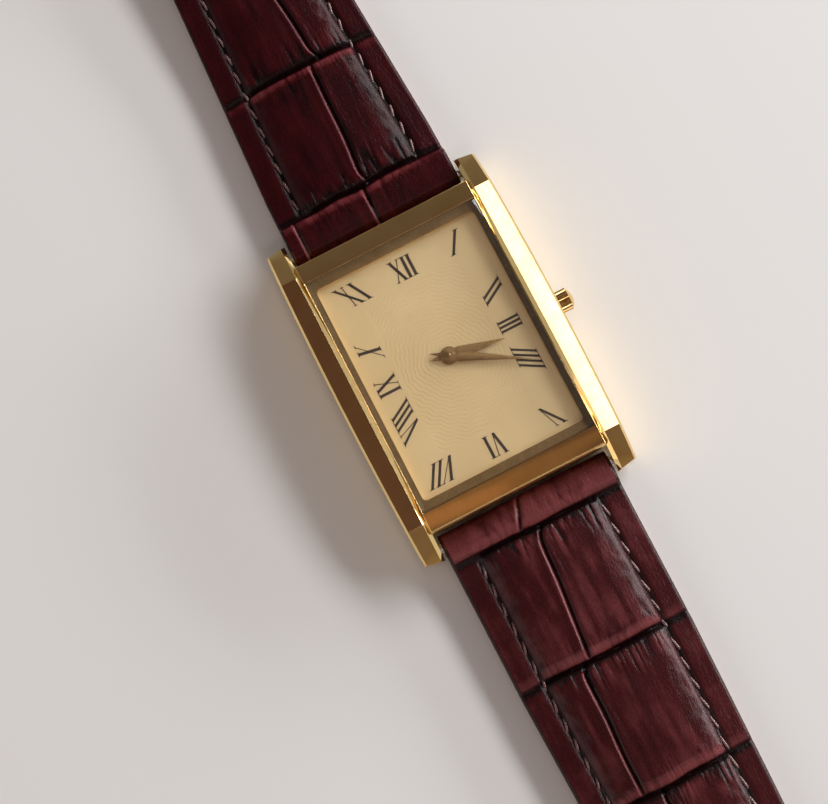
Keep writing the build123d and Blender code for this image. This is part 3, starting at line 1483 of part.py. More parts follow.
# Buckle: an open frame that slopes from its bar to the table, with a notch for the tongue in its front
buckle_outer_width = buckle_inner_width + 2 * buckle_arm_width
buckle_front_y = buckle_y + buckle_reach
buckle_end_y = buckle_front_y + buckle_front_width
buckle_block_height = buckle_level + buckle_eye_diameter
with BuildPart() as buckle_frame:
    with BuildSketch(Plane.XY):
        with Locations((0, (buckle_y - buckle_eye_diameter + buckle_end_y) / 2)):
            Rectangle(buckle_outer_width, buckle_end_y - buckle_y + buckle_eye_diameter)
        with Locations((0, buckle_y)):
            Rectangle(buckle_inner_width, 2 * buckle_reach, mode=Mode.SUBTRACT)
    extrude(amount=buckle_block_height)
    fillet(buckle_frame.edges().filter_by(Axis.Z).group_by(Axis.Y)[-1], buckle_corner_radius)
    with BuildSketch(Plane.YZ.offset(-buckle_outer_width / 2)):
        with Locations((buckle_y, buckle_level)):
            Circle(buckle_eye_diameter / 2)
        with BuildLine():
            Polyline(
                (buckle_y, buckle_level - buckle_thickness / 2),
                (buckle_front_y, 0),
                (buckle_end_y - buckle_edge_bevel, 0),
                (buckle_end_y, buckle_edge_bevel),
                (buckle_end_y, buckle_thickness - buckle_edge_bevel),
                (buckle_end_y - buckle_edge_bevel, buckle_thickness),
                (buckle_front_y, buckle_thickness),
                (buckle_y, buckle_level + buckle_thickness / 2),
                close=True,
            )
        make_face()
    extrude(amount=buckle_outer_width, mode=Mode.INTERSECT)
    with BuildSketch(Plane.YZ.offset(-buckle_outer_width / 2)):
        with Locations((buckle_y, buckle_level)):
            Circle(bar_pin_diameter / 2 + pipe_clearance)
    extrude(amount=buckle_outer_width, mode=Mode.SUBTRACT)
    with BuildSketch(Plane.XY.offset(buckle_thickness)):
        with Locations((0, buckle_end_y - buckle_front_width / 2)):
            Rectangle(tongue_width + 2 * buckle_notch_clearance, buckle_front_width)
    extrude(amount=-buckle_notch_depth, mode=Mode.SUBTRACT)
buckle_frame.part.label = "buckle_frame"
export_step(buckle_frame.part, "parts/buckle_frame.step")

# Tongue: a ring round the bar and a flat pin that rests in the notch
tongue_rest = buckle_thickness - buckle_notch_depth + tongue_rest_gap
tongue_end_y = buckle_end_y + tongue_overhang
with BuildPart() as buckle_tongue:
    with BuildSketch(Plane.YZ.offset(-tongue_width / 2)):
        with Locations((buckle_y, buckle_level)):
            Circle(tongue_ring_diameter / 2)
        with BuildLine():
            Polyline(
                (buckle_y, buckle_level + tongue_ring_diameter / 2),
                (buckle_y, buckle_level + tongue_ring_diameter / 2 - tongue_thickness),
                (buckle_front_y - tongue_thickness, tongue_rest),
                (buckle_end_y + tongue_rest_gap, tongue_rest),
                (tongue_end_y, tongue_rest - tongue_thickness / 2),
                (tongue_end_y, tongue_rest + tongue_thickness / 2),
                (buckle_end_y, tongue_rest + tongue_thickness),
                (buckle_front_y - tongue_thickness, tongue_rest + tongue_thickness),
                close=True,
            )
        make_face()
        with Locations((buckle_y, buckle_level)):
            Circle(bar_tube_diameter / 2 + strap_bore_clearance, mode=Mode.SUBTRACT)
    extrude(amount=tongue_width)
buckle_tongue.part.label = "buckle_tongue"
export_step(buckle_tongue.part, "parts/buckle_tongue.step")
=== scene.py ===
import json
import math
from types import SimpleNamespace

import bmesh
import bpy
import numpy as np
from mathutils import Matrix, Vector


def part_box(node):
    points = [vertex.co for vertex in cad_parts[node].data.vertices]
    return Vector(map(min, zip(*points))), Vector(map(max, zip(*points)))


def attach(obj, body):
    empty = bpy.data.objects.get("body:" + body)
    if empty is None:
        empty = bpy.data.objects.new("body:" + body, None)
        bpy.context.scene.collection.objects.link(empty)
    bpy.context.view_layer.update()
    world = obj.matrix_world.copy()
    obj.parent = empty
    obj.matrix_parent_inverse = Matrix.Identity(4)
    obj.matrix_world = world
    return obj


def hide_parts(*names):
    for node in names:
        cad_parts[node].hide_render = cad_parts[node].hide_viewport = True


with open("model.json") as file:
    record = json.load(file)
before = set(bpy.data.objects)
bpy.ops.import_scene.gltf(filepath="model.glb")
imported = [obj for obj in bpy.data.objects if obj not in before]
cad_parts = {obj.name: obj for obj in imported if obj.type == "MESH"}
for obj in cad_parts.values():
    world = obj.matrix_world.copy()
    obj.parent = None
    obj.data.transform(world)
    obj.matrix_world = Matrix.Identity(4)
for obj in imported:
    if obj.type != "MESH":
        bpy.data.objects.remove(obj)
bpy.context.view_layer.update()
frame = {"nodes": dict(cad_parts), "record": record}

MM = 0.001

# Strap sizes in millimetres, with distances from the lug bar outwards and tables of (distance, size) pairs
BAR_Y = 17.15
BAR_Z = 2.2
BORE = 0.83
NOSE = 1.3
END_NOSE = 1.2
BUCKLE_Z = 2.3
THINNEST = 0.0016
LINING = 0.8
LINING_START, LINING_SHORT_BY = 3.0, 2.2
EDGE_BODY = 1.9
MARGIN = 2.75
STITCH_PITCH = 2.2
STITCH_TOP, STITCH_UNDER = 1.90, 1.6
STITCH_SLANT = math.radians(13)
THREAD_RADIUS = 0.16
ROW_PITCH = 14.6
SHORT = {
    "side": 1,
    "length": 74.0,
    "roll": 3.35,
    "width": ((-2, 19.4), (3, 19.4), (6.5, 19.3), (27, 17.2), (40, 16.0), (80, 16.0)),
    "floor": ((-2, 0.9), (0, 0.9), (5, 0.0), (22, 0.0), (36, 1.1), (80, 1.1)),
    "body": ((-2, 2.6), (0, 2.6), (1.4, 3.25), (3, 3.6), (5, 3.9), (20, 3.6), (50.6, 2.4), (80, 2.4)),
    "grooves": ((0.2, 0.25), (0.7, 1.3), (2.2, 0.8), (-1.2, -0.3), (0.9, 0.4), (-0.4, 0.2)),
    "pad_end": 66.0,
    # The short half's tone is lower than the long half's: painted shade, the leather is the same.
    "tone": 0.16,
    # Lightening of the fold's middle: a painted sheen.
    "roll_sheen": 0.04,
    "pale_edge": 0.50,
    "seed": 11,
}
LONG = {
    "side": -1,
    "length": 115.0,
    "roll": 2.45,
    "width": ((-2, 19.4), (3, 19.4), (18, 19.3), (58, 17.2), (80, 16.0), (120, 16.0)),
    "floor": ((-2, 0.9), (0, 0.9), (5, 0.0), (120, 0.0)),
    "body": ((-2, 2.6), (0, 2.6), (1.4, 3.25), (3, 3.6), (5, 3.9), (28, 3.6), (55.5, 2.2), (120, 2.2)),
    "grooves": ((-0.6, -1.9), (-0.15, -1.6), (-2.7, -3.1), (-1.5, 0.6), (1.8, 1.2), (-0.9, -1.7),
                (0.9, 0.2), (-1.2, -0.4), (0.3, 0.6)),
    "pad_end": 120.0,
    # The long half's base tone; the short half's lower one is painted shade.
    "tone": 0.30,
    "roll_sheen": 0.22,
    "pale_edge": 0.38,
    "seed": 23,
}
SHORT_SEAM_END = 69.5
TIP_LENGTH = 11.0
TIP_HALF = 8.0
TIP_FLAT = 2.4
TIP_SWELL = 0.78
TIP_ROUNDING = 0.45
HOLES = [62.0 + 6.5 * k for k in range(7)]
HOLE_RADIUS = 0.95
SLOT_HALF_WIDTH, SLOT_HALF_LENGTH = 1.35, 3.9
ACROSS_SKIN, ACROSS_LINING = 150, 40

# Dial sizes in millimetres
DIAL_Z = 4.2
DIAL_HALF = (9.4, 12.65)
DIAL_STEPS = (236, 318)
PANEL_HALF = (5.55, 8.75)
WAVE_PITCH, WAVE_HEIGHT = 0.45, 0.006
RING_TOP = (9.17, 11.6)
RING_SIDE = (5.9, 8.3)
THICK, THIN, SERIF = 0.33, 0.10, 0.075
SERIF_REACH, UPRIGHT_REACH = 0.13, 0.15


def smooth(edge0, edge1, x):
    t = np.clip((x - edge0) / (edge1 - edge0), 0, 1)
    return t * t * (3 - 2 * t)


def bell(x, width):
    return np.exp(-((x / width) ** 2))


def noise(x, y, seed):
    """Smooth value noise between -1 and 1."""
    grid = np.random.RandomState(seed).uniform(-1, 1, (256, 256))
    xi, yi = np.floor(x).astype(int), np.floor(y).astype(int)
    fx, fy = x - xi, y - yi
    fx, fy = fx * fx * (3 - 2 * fx), fy * fy * (3 - 2 * fy)
    a, b = grid[xi % 256, yi % 256], grid[(xi + 1) % 256, yi % 256]
    c, d = grid[xi % 256, (yi + 1) % 256], grid[(xi + 1) % 256, (yi + 1) % 256]
    return (a * (1 - fx) + b * fx) * (1 - fy) + (c * (1 - fx) + d * fx) * fy


def table(pairs, s):
    return np.interp(s, [p[0] for p in pairs], [p[1] for p in pairs])


# Materials

def material(name, color, metallic, roughness):
    mat = bpy.data.materials.new(name)
    mat.use_nodes = True
    nt = mat.node_tree
    shader = nt.nodes["Principled BSDF"]
    shader.inputs["Base Color"].default_value = (*color, 1)
    shader.inputs["Metallic"].default_value = metallic
    shader.inputs["Roughness"].default_value = roughness
    mat.diffuse_color = (*color, 1)
    return mat, nt, shader


def node(nt, kind, **values):
    n = nt.nodes.new(kind)
    for key, value in values.items():
        if key in n.inputs:
            n.inputs[key].default_value = value
        else:
            setattr(n, key, value)
    return n


def coords(nt, scale):
    tex = node(nt, "ShaderNodeTexCoord")
    mapping = node(nt, "ShaderNodeMapping")
    mapping.inputs["Scale"].default_value = scale
    nt.links.new(tex.outputs["Object"], mapping.inputs["Vector"])
    return mapping.outputs["Vector"]


def noise_tex(nt, scale, size=(1, 1, 1), detail=3.0, rough=0.55, distortion=0.0):
    """Noise with the given number of cells per millimetre."""
    n = node(nt, "ShaderNodeTexNoise", Scale=1.0, Detail=detail, Roughness=rough, Distortion=distortion)
    nt.links.new(coords(nt, [scale * v / MM for v in size]), n.inputs["Vector"])
    return n.outputs["Fac"]


def ramp(nt, value, stops):
    r = node(nt, "ShaderNodeValToRGB")
    while len(r.color_ramp.elements) < len(stops):
        r.color_ramp.elements.new(0.5)
    for element, (place, color) in zip(r.color_ramp.elements, stops):
        element.position = place
        element.color = (*color, 1)
    nt.links.new(value, r.inputs["Fac"])
    return r.outputs["Color"]


def grey(nt, value, low, high, start=0.3, end=0.7):
    """Maps the range from start to end onto low to high."""
    m = node(nt, "ShaderNodeMapRange")
    m.inputs["From Min"].default_value = start
    m.inputs["From Max"].default_value = end
    m.inputs["To Min"].default_value = low
    m.inputs["To Max"].default_value = high
    nt.links.new(value, m.inputs["Value"])
    return m.outputs["Result"]


def multiply_add(nt, value, factor, addend):
    n = node(nt, "ShaderNodeMath", operation="MULTIPLY_ADD")
    nt.links.new(value, n.inputs[0])
    n.inputs[1].default_value = factor
    if isinstance(addend, float):
        n.inputs[2].default_value = addend
    else:
        nt.links.new(addend, n.inputs[2])
    return n.outputs["Value"]


def bump(nt, shader, heights):
    """Chains (height, depth in millimetres) pairs into one normal."""
    last = None
    for height, depth in heights:
        b = node(nt, "ShaderNodeBump", Strength=1.0, Distance=depth * MM)
        nt.links.new(height, b.inputs["Height"])
        if last is not None:
            nt.links.new(last, b.inputs["Normal"])
        last = b.outputs["Normal"]
    nt.links.new(last, shader.inputs["Normal"])


def surface(nt, shader, cloud, stops, fine, rough, heights):
    """Colours a shader by one value, roughens it by another and bumps it by heights."""
    nt.links.new(ramp(nt, cloud, stops), shader.inputs["Base Color"])
    nt.links.new(grey(nt, fine, *rough), shader.inputs["Roughness"])
    bump(nt, shader, heights)


def metal(name, dark, light, rough, grain, scratch):
    mat, nt, shader = material(name, light, 1.0, sum(rough) / 2)
    cloud = noise_tex(nt, 0.35, detail=4)
    fine = noise_tex(nt, 9.0, grain, detail=4, rough=0.7)
    surface(nt, shader, cloud, ((0.25, dark), (0.75, light)), fine, rough, ((fine, scratch),))
    return mat


def plastic(name, dark, light, rough, depth, grain=6.0):
    mat, nt, shader = material(name, light, 0.0, sum(rough) / 2)
    cloud = noise_tex(nt, 0.5, detail=3)
    fine = noise_tex(nt, grain, detail=3)
    surface(nt, shader, cloud, ((0.25, dark), (0.75, light)), fine, rough, ((fine, depth),))
    return mat


def leather(name, deep, mid, pale, rough, coat, gloss=0.23):
    """Leather coloured by the mesh's tone, with clouds, streaks along the strap and a fine grain. The tone
    holds painted shade and painted highlights besides the leather's own variation.
    """
    mat, nt, shader = material(name, mid, 0.0, sum(rough) / 2)
    shader.inputs["Specular IOR Level"].default_value = gloss
    shader.inputs["Coat Weight"].default_value = coat
    shader.inputs["Coat Roughness"].default_value = 0.16
    tone = node(nt, "ShaderNodeAttribute", attribute_name="tone")
    cloud = noise_tex(nt, 0.22, detail=5, rough=0.6)
    streak = noise_tex(nt, 1.6, (1.0, 0.16, 1.0), detail=4, rough=0.6, distortion=0.5)
    grain = noise_tex(nt, 7.0, (1.0, 0.45, 1.0), detail=4, rough=0.65)
    clouded = multiply_add(nt, cloud, 0.45, tone.outputs["Fac"])
    streaked = multiply_add(nt, streak, 0.20, clouded)
    cells = node(nt, "ShaderNodeTexVoronoi", feature="DISTANCE_TO_EDGE", Scale=1.0)
    nt.links.new(coords(nt, [2.6 / MM, 1.1 / MM, 2.6 / MM]), cells.inputs["Vector"])
    lines = grey(nt, cells.outputs["Distance"], 0.0, 1.0, 0.0, 0.12)
    surface(nt, shader, streaked, ((0.27, deep), (0.62, mid), (0.92, pale)), grain, rough,
            ((streak, 0.032), (lines, 0.009), (grain, 0.024)))
    return mat


def board_material():
    """Circuit board with squarish tracks."""
    mat, nt, shader = material("board_green", (0.02, 0.10, 0.045), 0.0, 0.35)
    cells = node(nt, "ShaderNodeTexVoronoi", distance="CHEBYCHEV", Scale=1.0)
    nt.links.new(coords(nt, [1.1 / MM] * 3), cells.inputs["Vector"])
    tracks = grey(nt, cells.outputs["Distance"], 0.0, 1.0, 0.32, 0.40)
    surface(nt, shader, tracks, ((0.2, (0.05, 0.20, 0.09)), (0.8, (0.015, 0.085, 0.035))),
            noise_tex(nt, 4.0), (0.28, 0.45), ((tracks, -0.012),))
    return mat


def glass_material():
    """Clear glass with faint smears that lets light through to the dial."""
    mat, nt, shader = material("glass", (1.0, 1.0, 1.0), 0.0, 0.0)
    shader.inputs["Transmission Weight"].default_value = 1.0
    shader.inputs["IOR"].default_value = 1.5
    shader.inputs["Specular IOR Level"].default_value = 0.35
    smear = noise_tex(nt, 0.25, detail=4)
    nt.links.new(grey(nt, smear, 0.0, 0.03, 0.5, 0.75), shader.inputs["Roughness"])
    path = node(nt, "ShaderNodeLightPath")
    clear = node(nt, "ShaderNodeBsdfTransparent")
    mix = node(nt, "ShaderNodeMixShader")
    nt.links.new(path.outputs["Is Shadow Ray"], mix.inputs["Fac"])
    nt.links.new(shader.outputs["BSDF"], mix.inputs[1])
    nt.links.new(clear.outputs["BSDF"], mix.inputs[2])
    nt.links.new(mix.outputs["Shader"], nt.nodes["Material Output"].inputs["Surface"])
    return mat


def gasket_material():
    # The gasket is dark amber and nearly opaque so that it draws the dark band round the dial: painted shade,
    # the real gasket is clear.
    mat = plastic("gasket_clear", (0.20, 0.115, 0.040), (0.27, 0.165, 0.065), (0.2, 0.3), 0.0003)
    mat.node_tree.nodes["Principled BSDF"].inputs["Alpha"].default_value = 0.85
    return mat


def dial_material():
    mat, nt, shader = material("dial_champagne", (0.70, 0.53, 0.27), 0.25, 0.38)
    cloud = noise_tex(nt, 0.12, detail=3)
    fine = noise_tex(nt, 14.0, detail=3, rough=0.7)
    surface(nt, shader, cloud, ((0.2, (0.52, 0.38, 0.185)), (0.8, (0.59, 0.45, 0.24))),
            fine, (0.32, 0.44), ((fine, 0.0016),))
    return mat


def thread_material():
    """Waxed, twisted thread."""
    mat, nt, shader = material("thread_burgundy", (0.06, 0.016, 0.020), 0.0, 0.4)
    shader.inputs["Coat Weight"].default_value = 1.0
    shader.inputs["Coat Roughness"].default_value = 0.10
    fibre = noise_tex(nt, 12.0, (1.0, 0.25, 1.0), detail=3)
    twist = node(nt, "ShaderNodeTexWave", bands_direction="DIAGONAL", Scale=1.0, Distortion=0.4)
    nt.links.new(coords(nt, [2.2 / MM] * 3), twist.inputs["Vector"])
    surface(nt, shader, fibre, ((0.3, (0.050, 0.010, 0.010)), (0.7, (0.28, 0.115, 0.105))),
            fibre, (0.34, 0.55), ((twist.outputs["Fac"], 0.05), (fibre, 0.02)))
    return mat


# (slot, dark, light, roughness, grain, depth of the scratches)
METALS = (
    ("polished_gold", (0.84, 0.57, 0.23), (0.93, 0.68, 0.31), (0.04, 0.09), (1, 0.12, 1), 0.0003),
    ("hand_gold", (0.40, 0.255, 0.105), (0.48, 0.305, 0.13), (0.22, 0.26), (1, 1, 1), 0.0001),
    ("steel", (0.57, 0.57, 0.58), (0.65, 0.65, 0.66), (0.16, 0.32), (1, 0.03, 1), 0.003),
    ("dark_steel", (0.20, 0.21, 0.24), (0.32, 0.33, 0.36), (0.22, 0.38), (1, 1, 0.05), 0.002),
    ("train_brass", (0.66, 0.46, 0.19), (0.80, 0.60, 0.29), (0.2, 0.34), (1, 0.1, 1), 0.0015),
    ("coil_copper", (0.50, 0.20, 0.08), (0.74, 0.36, 0.18), (0.2, 0.36), (1, 1, 1), 0.001),
)
# (slot, dark, light, roughness, depth of the grain)
PLASTICS = (
    ("nylon_white", (0.72, 0.69, 0.60), (0.85, 0.83, 0.76), (0.38, 0.55), 0.006),
    ("resin_black", (0.020, 0.020, 0.022), (0.05, 0.05, 0.055), (0.35, 0.6), 0.006),
    ("seal_black", (0.012, 0.012, 0.012), (0.03, 0.03, 0.03), (0.5, 0.75), 0.01),
)
LEATHER = leather("leather_burgundy", (0.006, 0.0009, 0.0012), (0.048, 0.0043, 0.0058),
                  (0.172, 0.038, 0.041), (0.22, 0.36), 0.06)
# A darker, less glossy copy of the same leather for the short half: painted shade.
LEATHER_SHADED = leather("leather_burgundy_shaded", (0.006, 0.0007, 0.0010), (0.046, 0.0030, 0.0048),
                       (0.170, 0.032, 0.037), (0.22, 0.36), 0.03, 0.14)
LINING_MAT = leather("leather_lining", (0.10, 0.040, 0.022), (0.21, 0.096, 0.052), (0.33, 0.18, 0.11),
                     (0.5, 0.7), 0.0)
DIAL = dial_material()
INK = plastic("numeral_ink", (0.016, 0.009, 0.004), (0.032, 0.019, 0.010), (0.4, 0.6), 0.001, 12.0)
THREAD = thread_material()
SLOT_MATERIALS = {row[0]: metal(*row) for row in METALS}
SLOT_MATERIALS |= {row[0]: plastic(*row) for row in PLASTICS}
SLOT_MATERIALS |= {
    "glass": glass_material(),
    "dial_champagne": DIAL,
    "board_green": board_material(),
    "gasket_clear": gasket_material(),
    "leather_burgundy": LEATHER,
    "leather_lining": LINING_MAT,
}

# Fine rounding, in millimetres, of the frame's own solids whose rims catch light
ROUNDED = {
    "left_rail": 0.05,
    "right_rail": 0.05,
    "bezel_frame": 0.09,
    "case_middle": 0.04,
    "case_back": 0.06,
    "case_back_screws": 0.05,
    "buckle_frame": 0.12,
    "buckle_tongue": 0.18,
    "hour_hand": 0.012,
    "minute_hand": 0.012,
}
# Edges sharper than these angles, in degrees, are rounded
FACET_ANGLE, CORNER_ANGLE = 14, 30
FACETTED = ("left_rail", "right_rail", "bezel_frame")
WELD_DISTANCE = 0.000002


def finish_solids():
    slots = {part["node"]: part["material_slot"] for part in frame["record"]["subparts"]}
    for name, obj in frame["nodes"].items():
        mat = SLOT_MATERIALS.get(slots.get(name))
        if mat is None:
            raise ValueError(f"no material for {name}: {slots.get(name)}")
        obj.data.materials.clear()
        obj.data.materials.append(mat)
        if name in ROUNDED:
            weld = obj.modifiers.new("weld", "WELD")
            weld.merge_threshold = WELD_DISTANCE
            bevel = obj.modifiers.new("bevel", "BEVEL")
            bevel.width = ROUNDED[name] * MM
            bevel.segments = 3
            bevel.limit_method = "ANGLE"
            bevel.angle_limit = math.radians(FACET_ANGLE if name in FACETTED else CORNER_ANGLE)
            even = obj.modifiers.new("even", "WEIGHTED_NORMAL")
            even.mode = "FACE_AREA"
            even.weight = 100


finish_solids()


# Meshes

def new_mesh(name, verts, faces):
    """A mesh from points in millimetres."""
    mesh = bpy.data.meshes.new(name)
    mesh.from_pydata([tuple(v) for v in np.asarray(verts, float) * MM], [], faces)
    return mesh


def add_object(name, data):
    obj = bpy.data.objects.new(name, data)
    bpy.context.scene.collection.objects.link(obj)
    return obj


def outward(mesh):
    shell = bmesh.new()
    shell.from_mesh(mesh)
    bmesh.ops.recalc_face_normals(shell, faces=shell.faces)
    shell.to_mesh(mesh)
    shell.free()
    mesh.update()


def mesh_piece(name, verts, faces, mat, tone=None, sharp=40):
    """A smooth-shaded piece with sharp edges above an angle in degrees."""
    mesh = new_mesh(name, verts, faces)
    if tone is not None:
        layer = mesh.attributes.new("tone", "FLOAT", "POINT")
        layer.data.foreach_set("value", np.asarray(tone, np.float32))
    mesh.validate()
    outward(mesh)
    mesh.polygons.foreach_set("use_smooth", [True] * len(mesh.polygons))
    mesh.set_sharp_from_angle(angle=math.radians(sharp))
    mesh.materials.append(mat)
    return add_object(name, mesh)


def settle(obj, body, replaced=()):
    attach(obj, body)
    if replaced:
        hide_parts(*replaced)


def tube_faces(rings, size, flip=False, loop=False, base=0):
    """Faces between rings of points, either round in a loop or closed by a cap at each end."""
    faces = []
    for i in range(rings if loop else rings - 1):
        here, there = base + i * size, base + (i + 1) % rings * size
        for j in range(size):
            k = (j + 1) % size
            faces.append((here + j, here + k, there + k, there + j))
    if not loop:
        first = tuple(range(base, base + size))
        last = tuple(range(base + (rings - 1) * size, base + rings * size))
        faces += [first[::-1], last]
    return [face[::-1] for face in faces] if flip else faces


def cut(obj, cutters):
    """Cuts closed shapes out of a piece."""
    for cutter in cutters:
        mod = obj.modifiers.new("cut", "BOOLEAN")
        mod.operation = "DIFFERENCE"
        mod.solver = "EXACT"
        mod.object = cutter
    bpy.context.view_layer.update()
    graph = bpy.context.evaluated_depsgraph_get()
    mesh = bpy.data.meshes.new_from_object(obj.evaluated_get(graph))
    mesh.name = obj.data.name + "_cut"
    obj.modifiers.clear()
    obj.data = mesh
    for cutter in cutters:
        bpy.data.objects.remove(cutter)


def cutter_object(name, verts, faces):
    mesh = new_mesh(name, verts, faces)
    outward(mesh)
    return add_object(name, mesh)


def cylinder(name, start, end, radius, count=40):
    """A closed cylinder between two points, in millimetres."""
    a, b = np.array(start, float), np.array(end, float)
    axis = (b - a) / np.linalg.norm(b - a)
    side = np.cross(axis, (0, 0, 1) if abs(axis[2]) < 0.9 else (1, 0, 0))
    side /= np.linalg.norm(side)
    up = np.cross(axis, side)
    angles = np.linspace(0, 2 * math.pi, count, endpoint=False)
    ring = radius * (np.cos(angles)[:, None] * side + np.sin(angles)[:, None] * up)
    return cutter_object(name, np.vstack([a + ring, b + ring]), tube_faces(2, count))


def block(name, low, high):
    x0, y0, z0 = low
    x1, y1, z1 = high
    verts = [(x, y, z) for z in (z0, z1) for y in (y0, y1) for x in (x0, x1)]
    faces = [(0, 2, 3, 1), (4, 5, 7, 6), (0, 1, 5, 4), (2, 6, 7, 3), (0, 4, 6, 2), (1, 3, 7, 5)]
    return cutter_object(name, verts, faces)


# Strap

def circle_through(p):
    """Centre and radius of the circle through three points."""
    a = np.array([[2 * (p[1, 0] - p[0, 0]), 2 * (p[1, 1] - p[0, 1])],
                  [2 * (p[2, 0] - p[0, 0]), 2 * (p[2, 1] - p[0, 1])]])
    b = np.array([(p[1] ** 2).sum() - (p[0] ** 2).sum(), (p[2] ** 2).sum() - (p[0] ** 2).sum()])
    centre = np.linalg.solve(a, b)
    return centre, np.hypot(*(p[0] - centre))


def half_width(spec, s):
    """Half width of the strap at a distance, with the rounded point of the long half."""
    half = table(spec["width"], s) / 2
    if spec["side"] > 0:
        return half
    start = spec["length"] - TIP_LENGTH
    centre, radius = circle_through(np.array([
        (start, TIP_HALF), (start + TIP_LENGTH / 2, TIP_HALF * TIP_SWELL), (spec["length"], TIP_FLAT / 2)]))
    inside = np.clip(radius**2 - (np.minimum(s, spec["length"]) - centre[0]) ** 2, 0, None)
    return np.where(s > start, centre[1] + np.sqrt(inside), half)


def with_flat_end(spec, outline, count, skip=0):
    """Adds the flat end of the point to an outline of (distance, half width) rows."""
    flat = [(spec["length"], y) for y in np.linspace(TIP_FLAT / 2, 0, count)[skip:]]
    return np.vstack([outline, flat])


def edge_distance(spec, s, x):
    """Distance from a place on the strap to its nearest edge."""
    m = half_width(spec, s) - np.abs(x)
    if spec["side"] > 0:
        return m
    near = s > spec["length"] - 2 * TIP_LENGTH
    outline_s = np.linspace(spec["length"] - 2.5 * TIP_LENGTH, spec["length"], 240)
    outline = with_flat_end(spec, np.stack([outline_s, half_width(spec, outline_s)], 1), 8)
    pts = np.stack([s[near], np.abs(x[near])], 1)
    if len(pts):
        d = np.sqrt(((pts[:, None, :] - outline[None]) ** 2).sum(2)).min(1)
        m = m.copy()
        m[near] = np.minimum(m[near], d)
    return m


def creases(spec):
    """Distances of the creases between the rows of the embossed pattern."""
    out, c = [], spec["roll"]
    while c < spec["length"] - 2:
        out.append(c)
        c += ROW_PITCH
    return out


def padding(spec, s, x):
    """The bare padded face: height, tone and the masks that its embossing uses."""
    seed = spec["seed"]
    floor, body = table(spec["floor"], s), table(spec["body"], s)
    crown = np.clip((body - EDGE_BODY) * 0.72, 0.12, None)
    edge = floor + body - crown
    m = edge_distance(spec, s, x)
    half = np.maximum(half_width(spec, s), 1.0)
    pad_start = smooth(spec["roll"] - 0.6, spec["roll"] + 0.4, s)
    pad = pad_start * (1 - smooth(spec["pad_end"] - 2, spec["pad_end"], s))
    inner = np.clip(m - MARGIN, 0, None) / np.maximum(half - MARGIN, 1.0)
    plate = 0.14 * smooth(0.3, 2.3, m) + 0.40 * (1 - (1 - inner) ** 2) + 0.44 * (1 - np.exp(-inner / 0.11))
    roll = 0.62 + 0.30 * (1 - (x / half) ** 2)
    z = edge + crown * (plate * pad + roll * (1 - pad))
    return SimpleNamespace(
        s=s, x=x, m=m, z=z, crown=crown,
        # Base tone of the half, lower on the short half as painted shade
        tone=np.full_like(z, spec["tone"]),
        inside=smooth(2.5, 3.4, m),
        roll_zone=1 - smooth(spec["roll"] - 0.2, spec["roll"] + 0.2, s),
        wear=0.5 + 0.5 * noise(x * 0.5 + 7, s * 0.4, seed + 5),
    )


def arch_roll(spec, face):
    """The fold round the lug bar bulges between the bar and the first crease, and its middle is lightened as
    a painted sheen.
    """
    along = np.clip((face.s + 1.3) / (spec["roll"] + 1.3), 0, 1)
    face.z += 0.22 * face.roll_zone * np.sin(along * math.pi)
    # Painted sheen: the middle of the fold is made lighter
    face.tone += spec["roll_sheen"] * face.roll_zone * bell(face.s - 0.9, 1.3)


def emboss_crease(spec, face, k, place):
    """A pale bevel before the crease, the crease itself, darkened as painted shade, and wrinkles on both
    sides of it.
    """
    s, x, seed, inside = face.s, face.x, spec["seed"], face.inside
    bend = 0.16 * noise(x * 0.35 + 3.1 * k, 0.5 + k, seed) + 0.10 * np.sin(x * 0.25 + k)
    d = s - place - bend
    depth = (0.40 + 0.60 * inside) * np.clip(face.crown / 1.2, 0.36, 1.0)
    before = np.clip(1 + d / 1.35, 0, 1) * (d < 0)
    after = np.exp(-np.clip(d, 0, None) / 0.50) * (d >= 0)
    face.z -= depth * (0.34 * before**1.4 + 0.42 * after + 0.30 * bell(d - 0.06, 0.28))
    face.z += depth * 0.05 * bell(d + 1.45, 0.45)
    paler = spec["pale_edge"] * np.where(d < 0, before**0.6 * (1 - bell(d, 0.22)), 0)
    # The crease and the rise after it are darkened: painted shade
    face.tone += (paler - 0.78 * bell(d - 0.16, 0.38) - 0.16 * after) * (0.60 + 0.40 * inside)
    # Strong wrinkles after the crease, lighter over their swells and darker in their grooves: painted
    # highlight and painted shade
    reach = 3.4 + 2.2 * noise(x * 0.8 + 3 * k, 1.5 * k, seed + 10)
    start = smooth(0.10, 0.5, d) * (1 - smooth(0.35 * reach, reach, d)) * inside
    strokes = bell(noise(x * 1.15 + 11 * k, s * 0.10 + k, seed + 1), 0.13)
    strokes += 0.6 * bell(noise(x * 2.3 + 5 * k, s * 0.16, seed + 2), 0.16)
    swell = noise(x * 0.9 + 5 * k, s * 0.25, seed + 12)
    relief = start * (0.05 * swell - 0.12 * strokes) * (0.35 + 0.65 * face.wear)
    face.z += relief * np.clip(face.crown, 0.4, 1.2)
    face.tone += start * (0.10 + 0.12 * swell - 0.34 * strokes)
    # Fine wrinkles before it, darkened in their grooves: painted shade
    stop = smooth(-3.2, -1.2, d) * (1 - smooth(-0.5, 0.0, d)) * inside
    fine = bell(noise(x * 2.4 + 2 * k, s * 0.22, seed + 3), 0.15)
    face.z -= stop * 0.035 * fine
    face.tone += stop * (0.03 - 0.16 * fine)


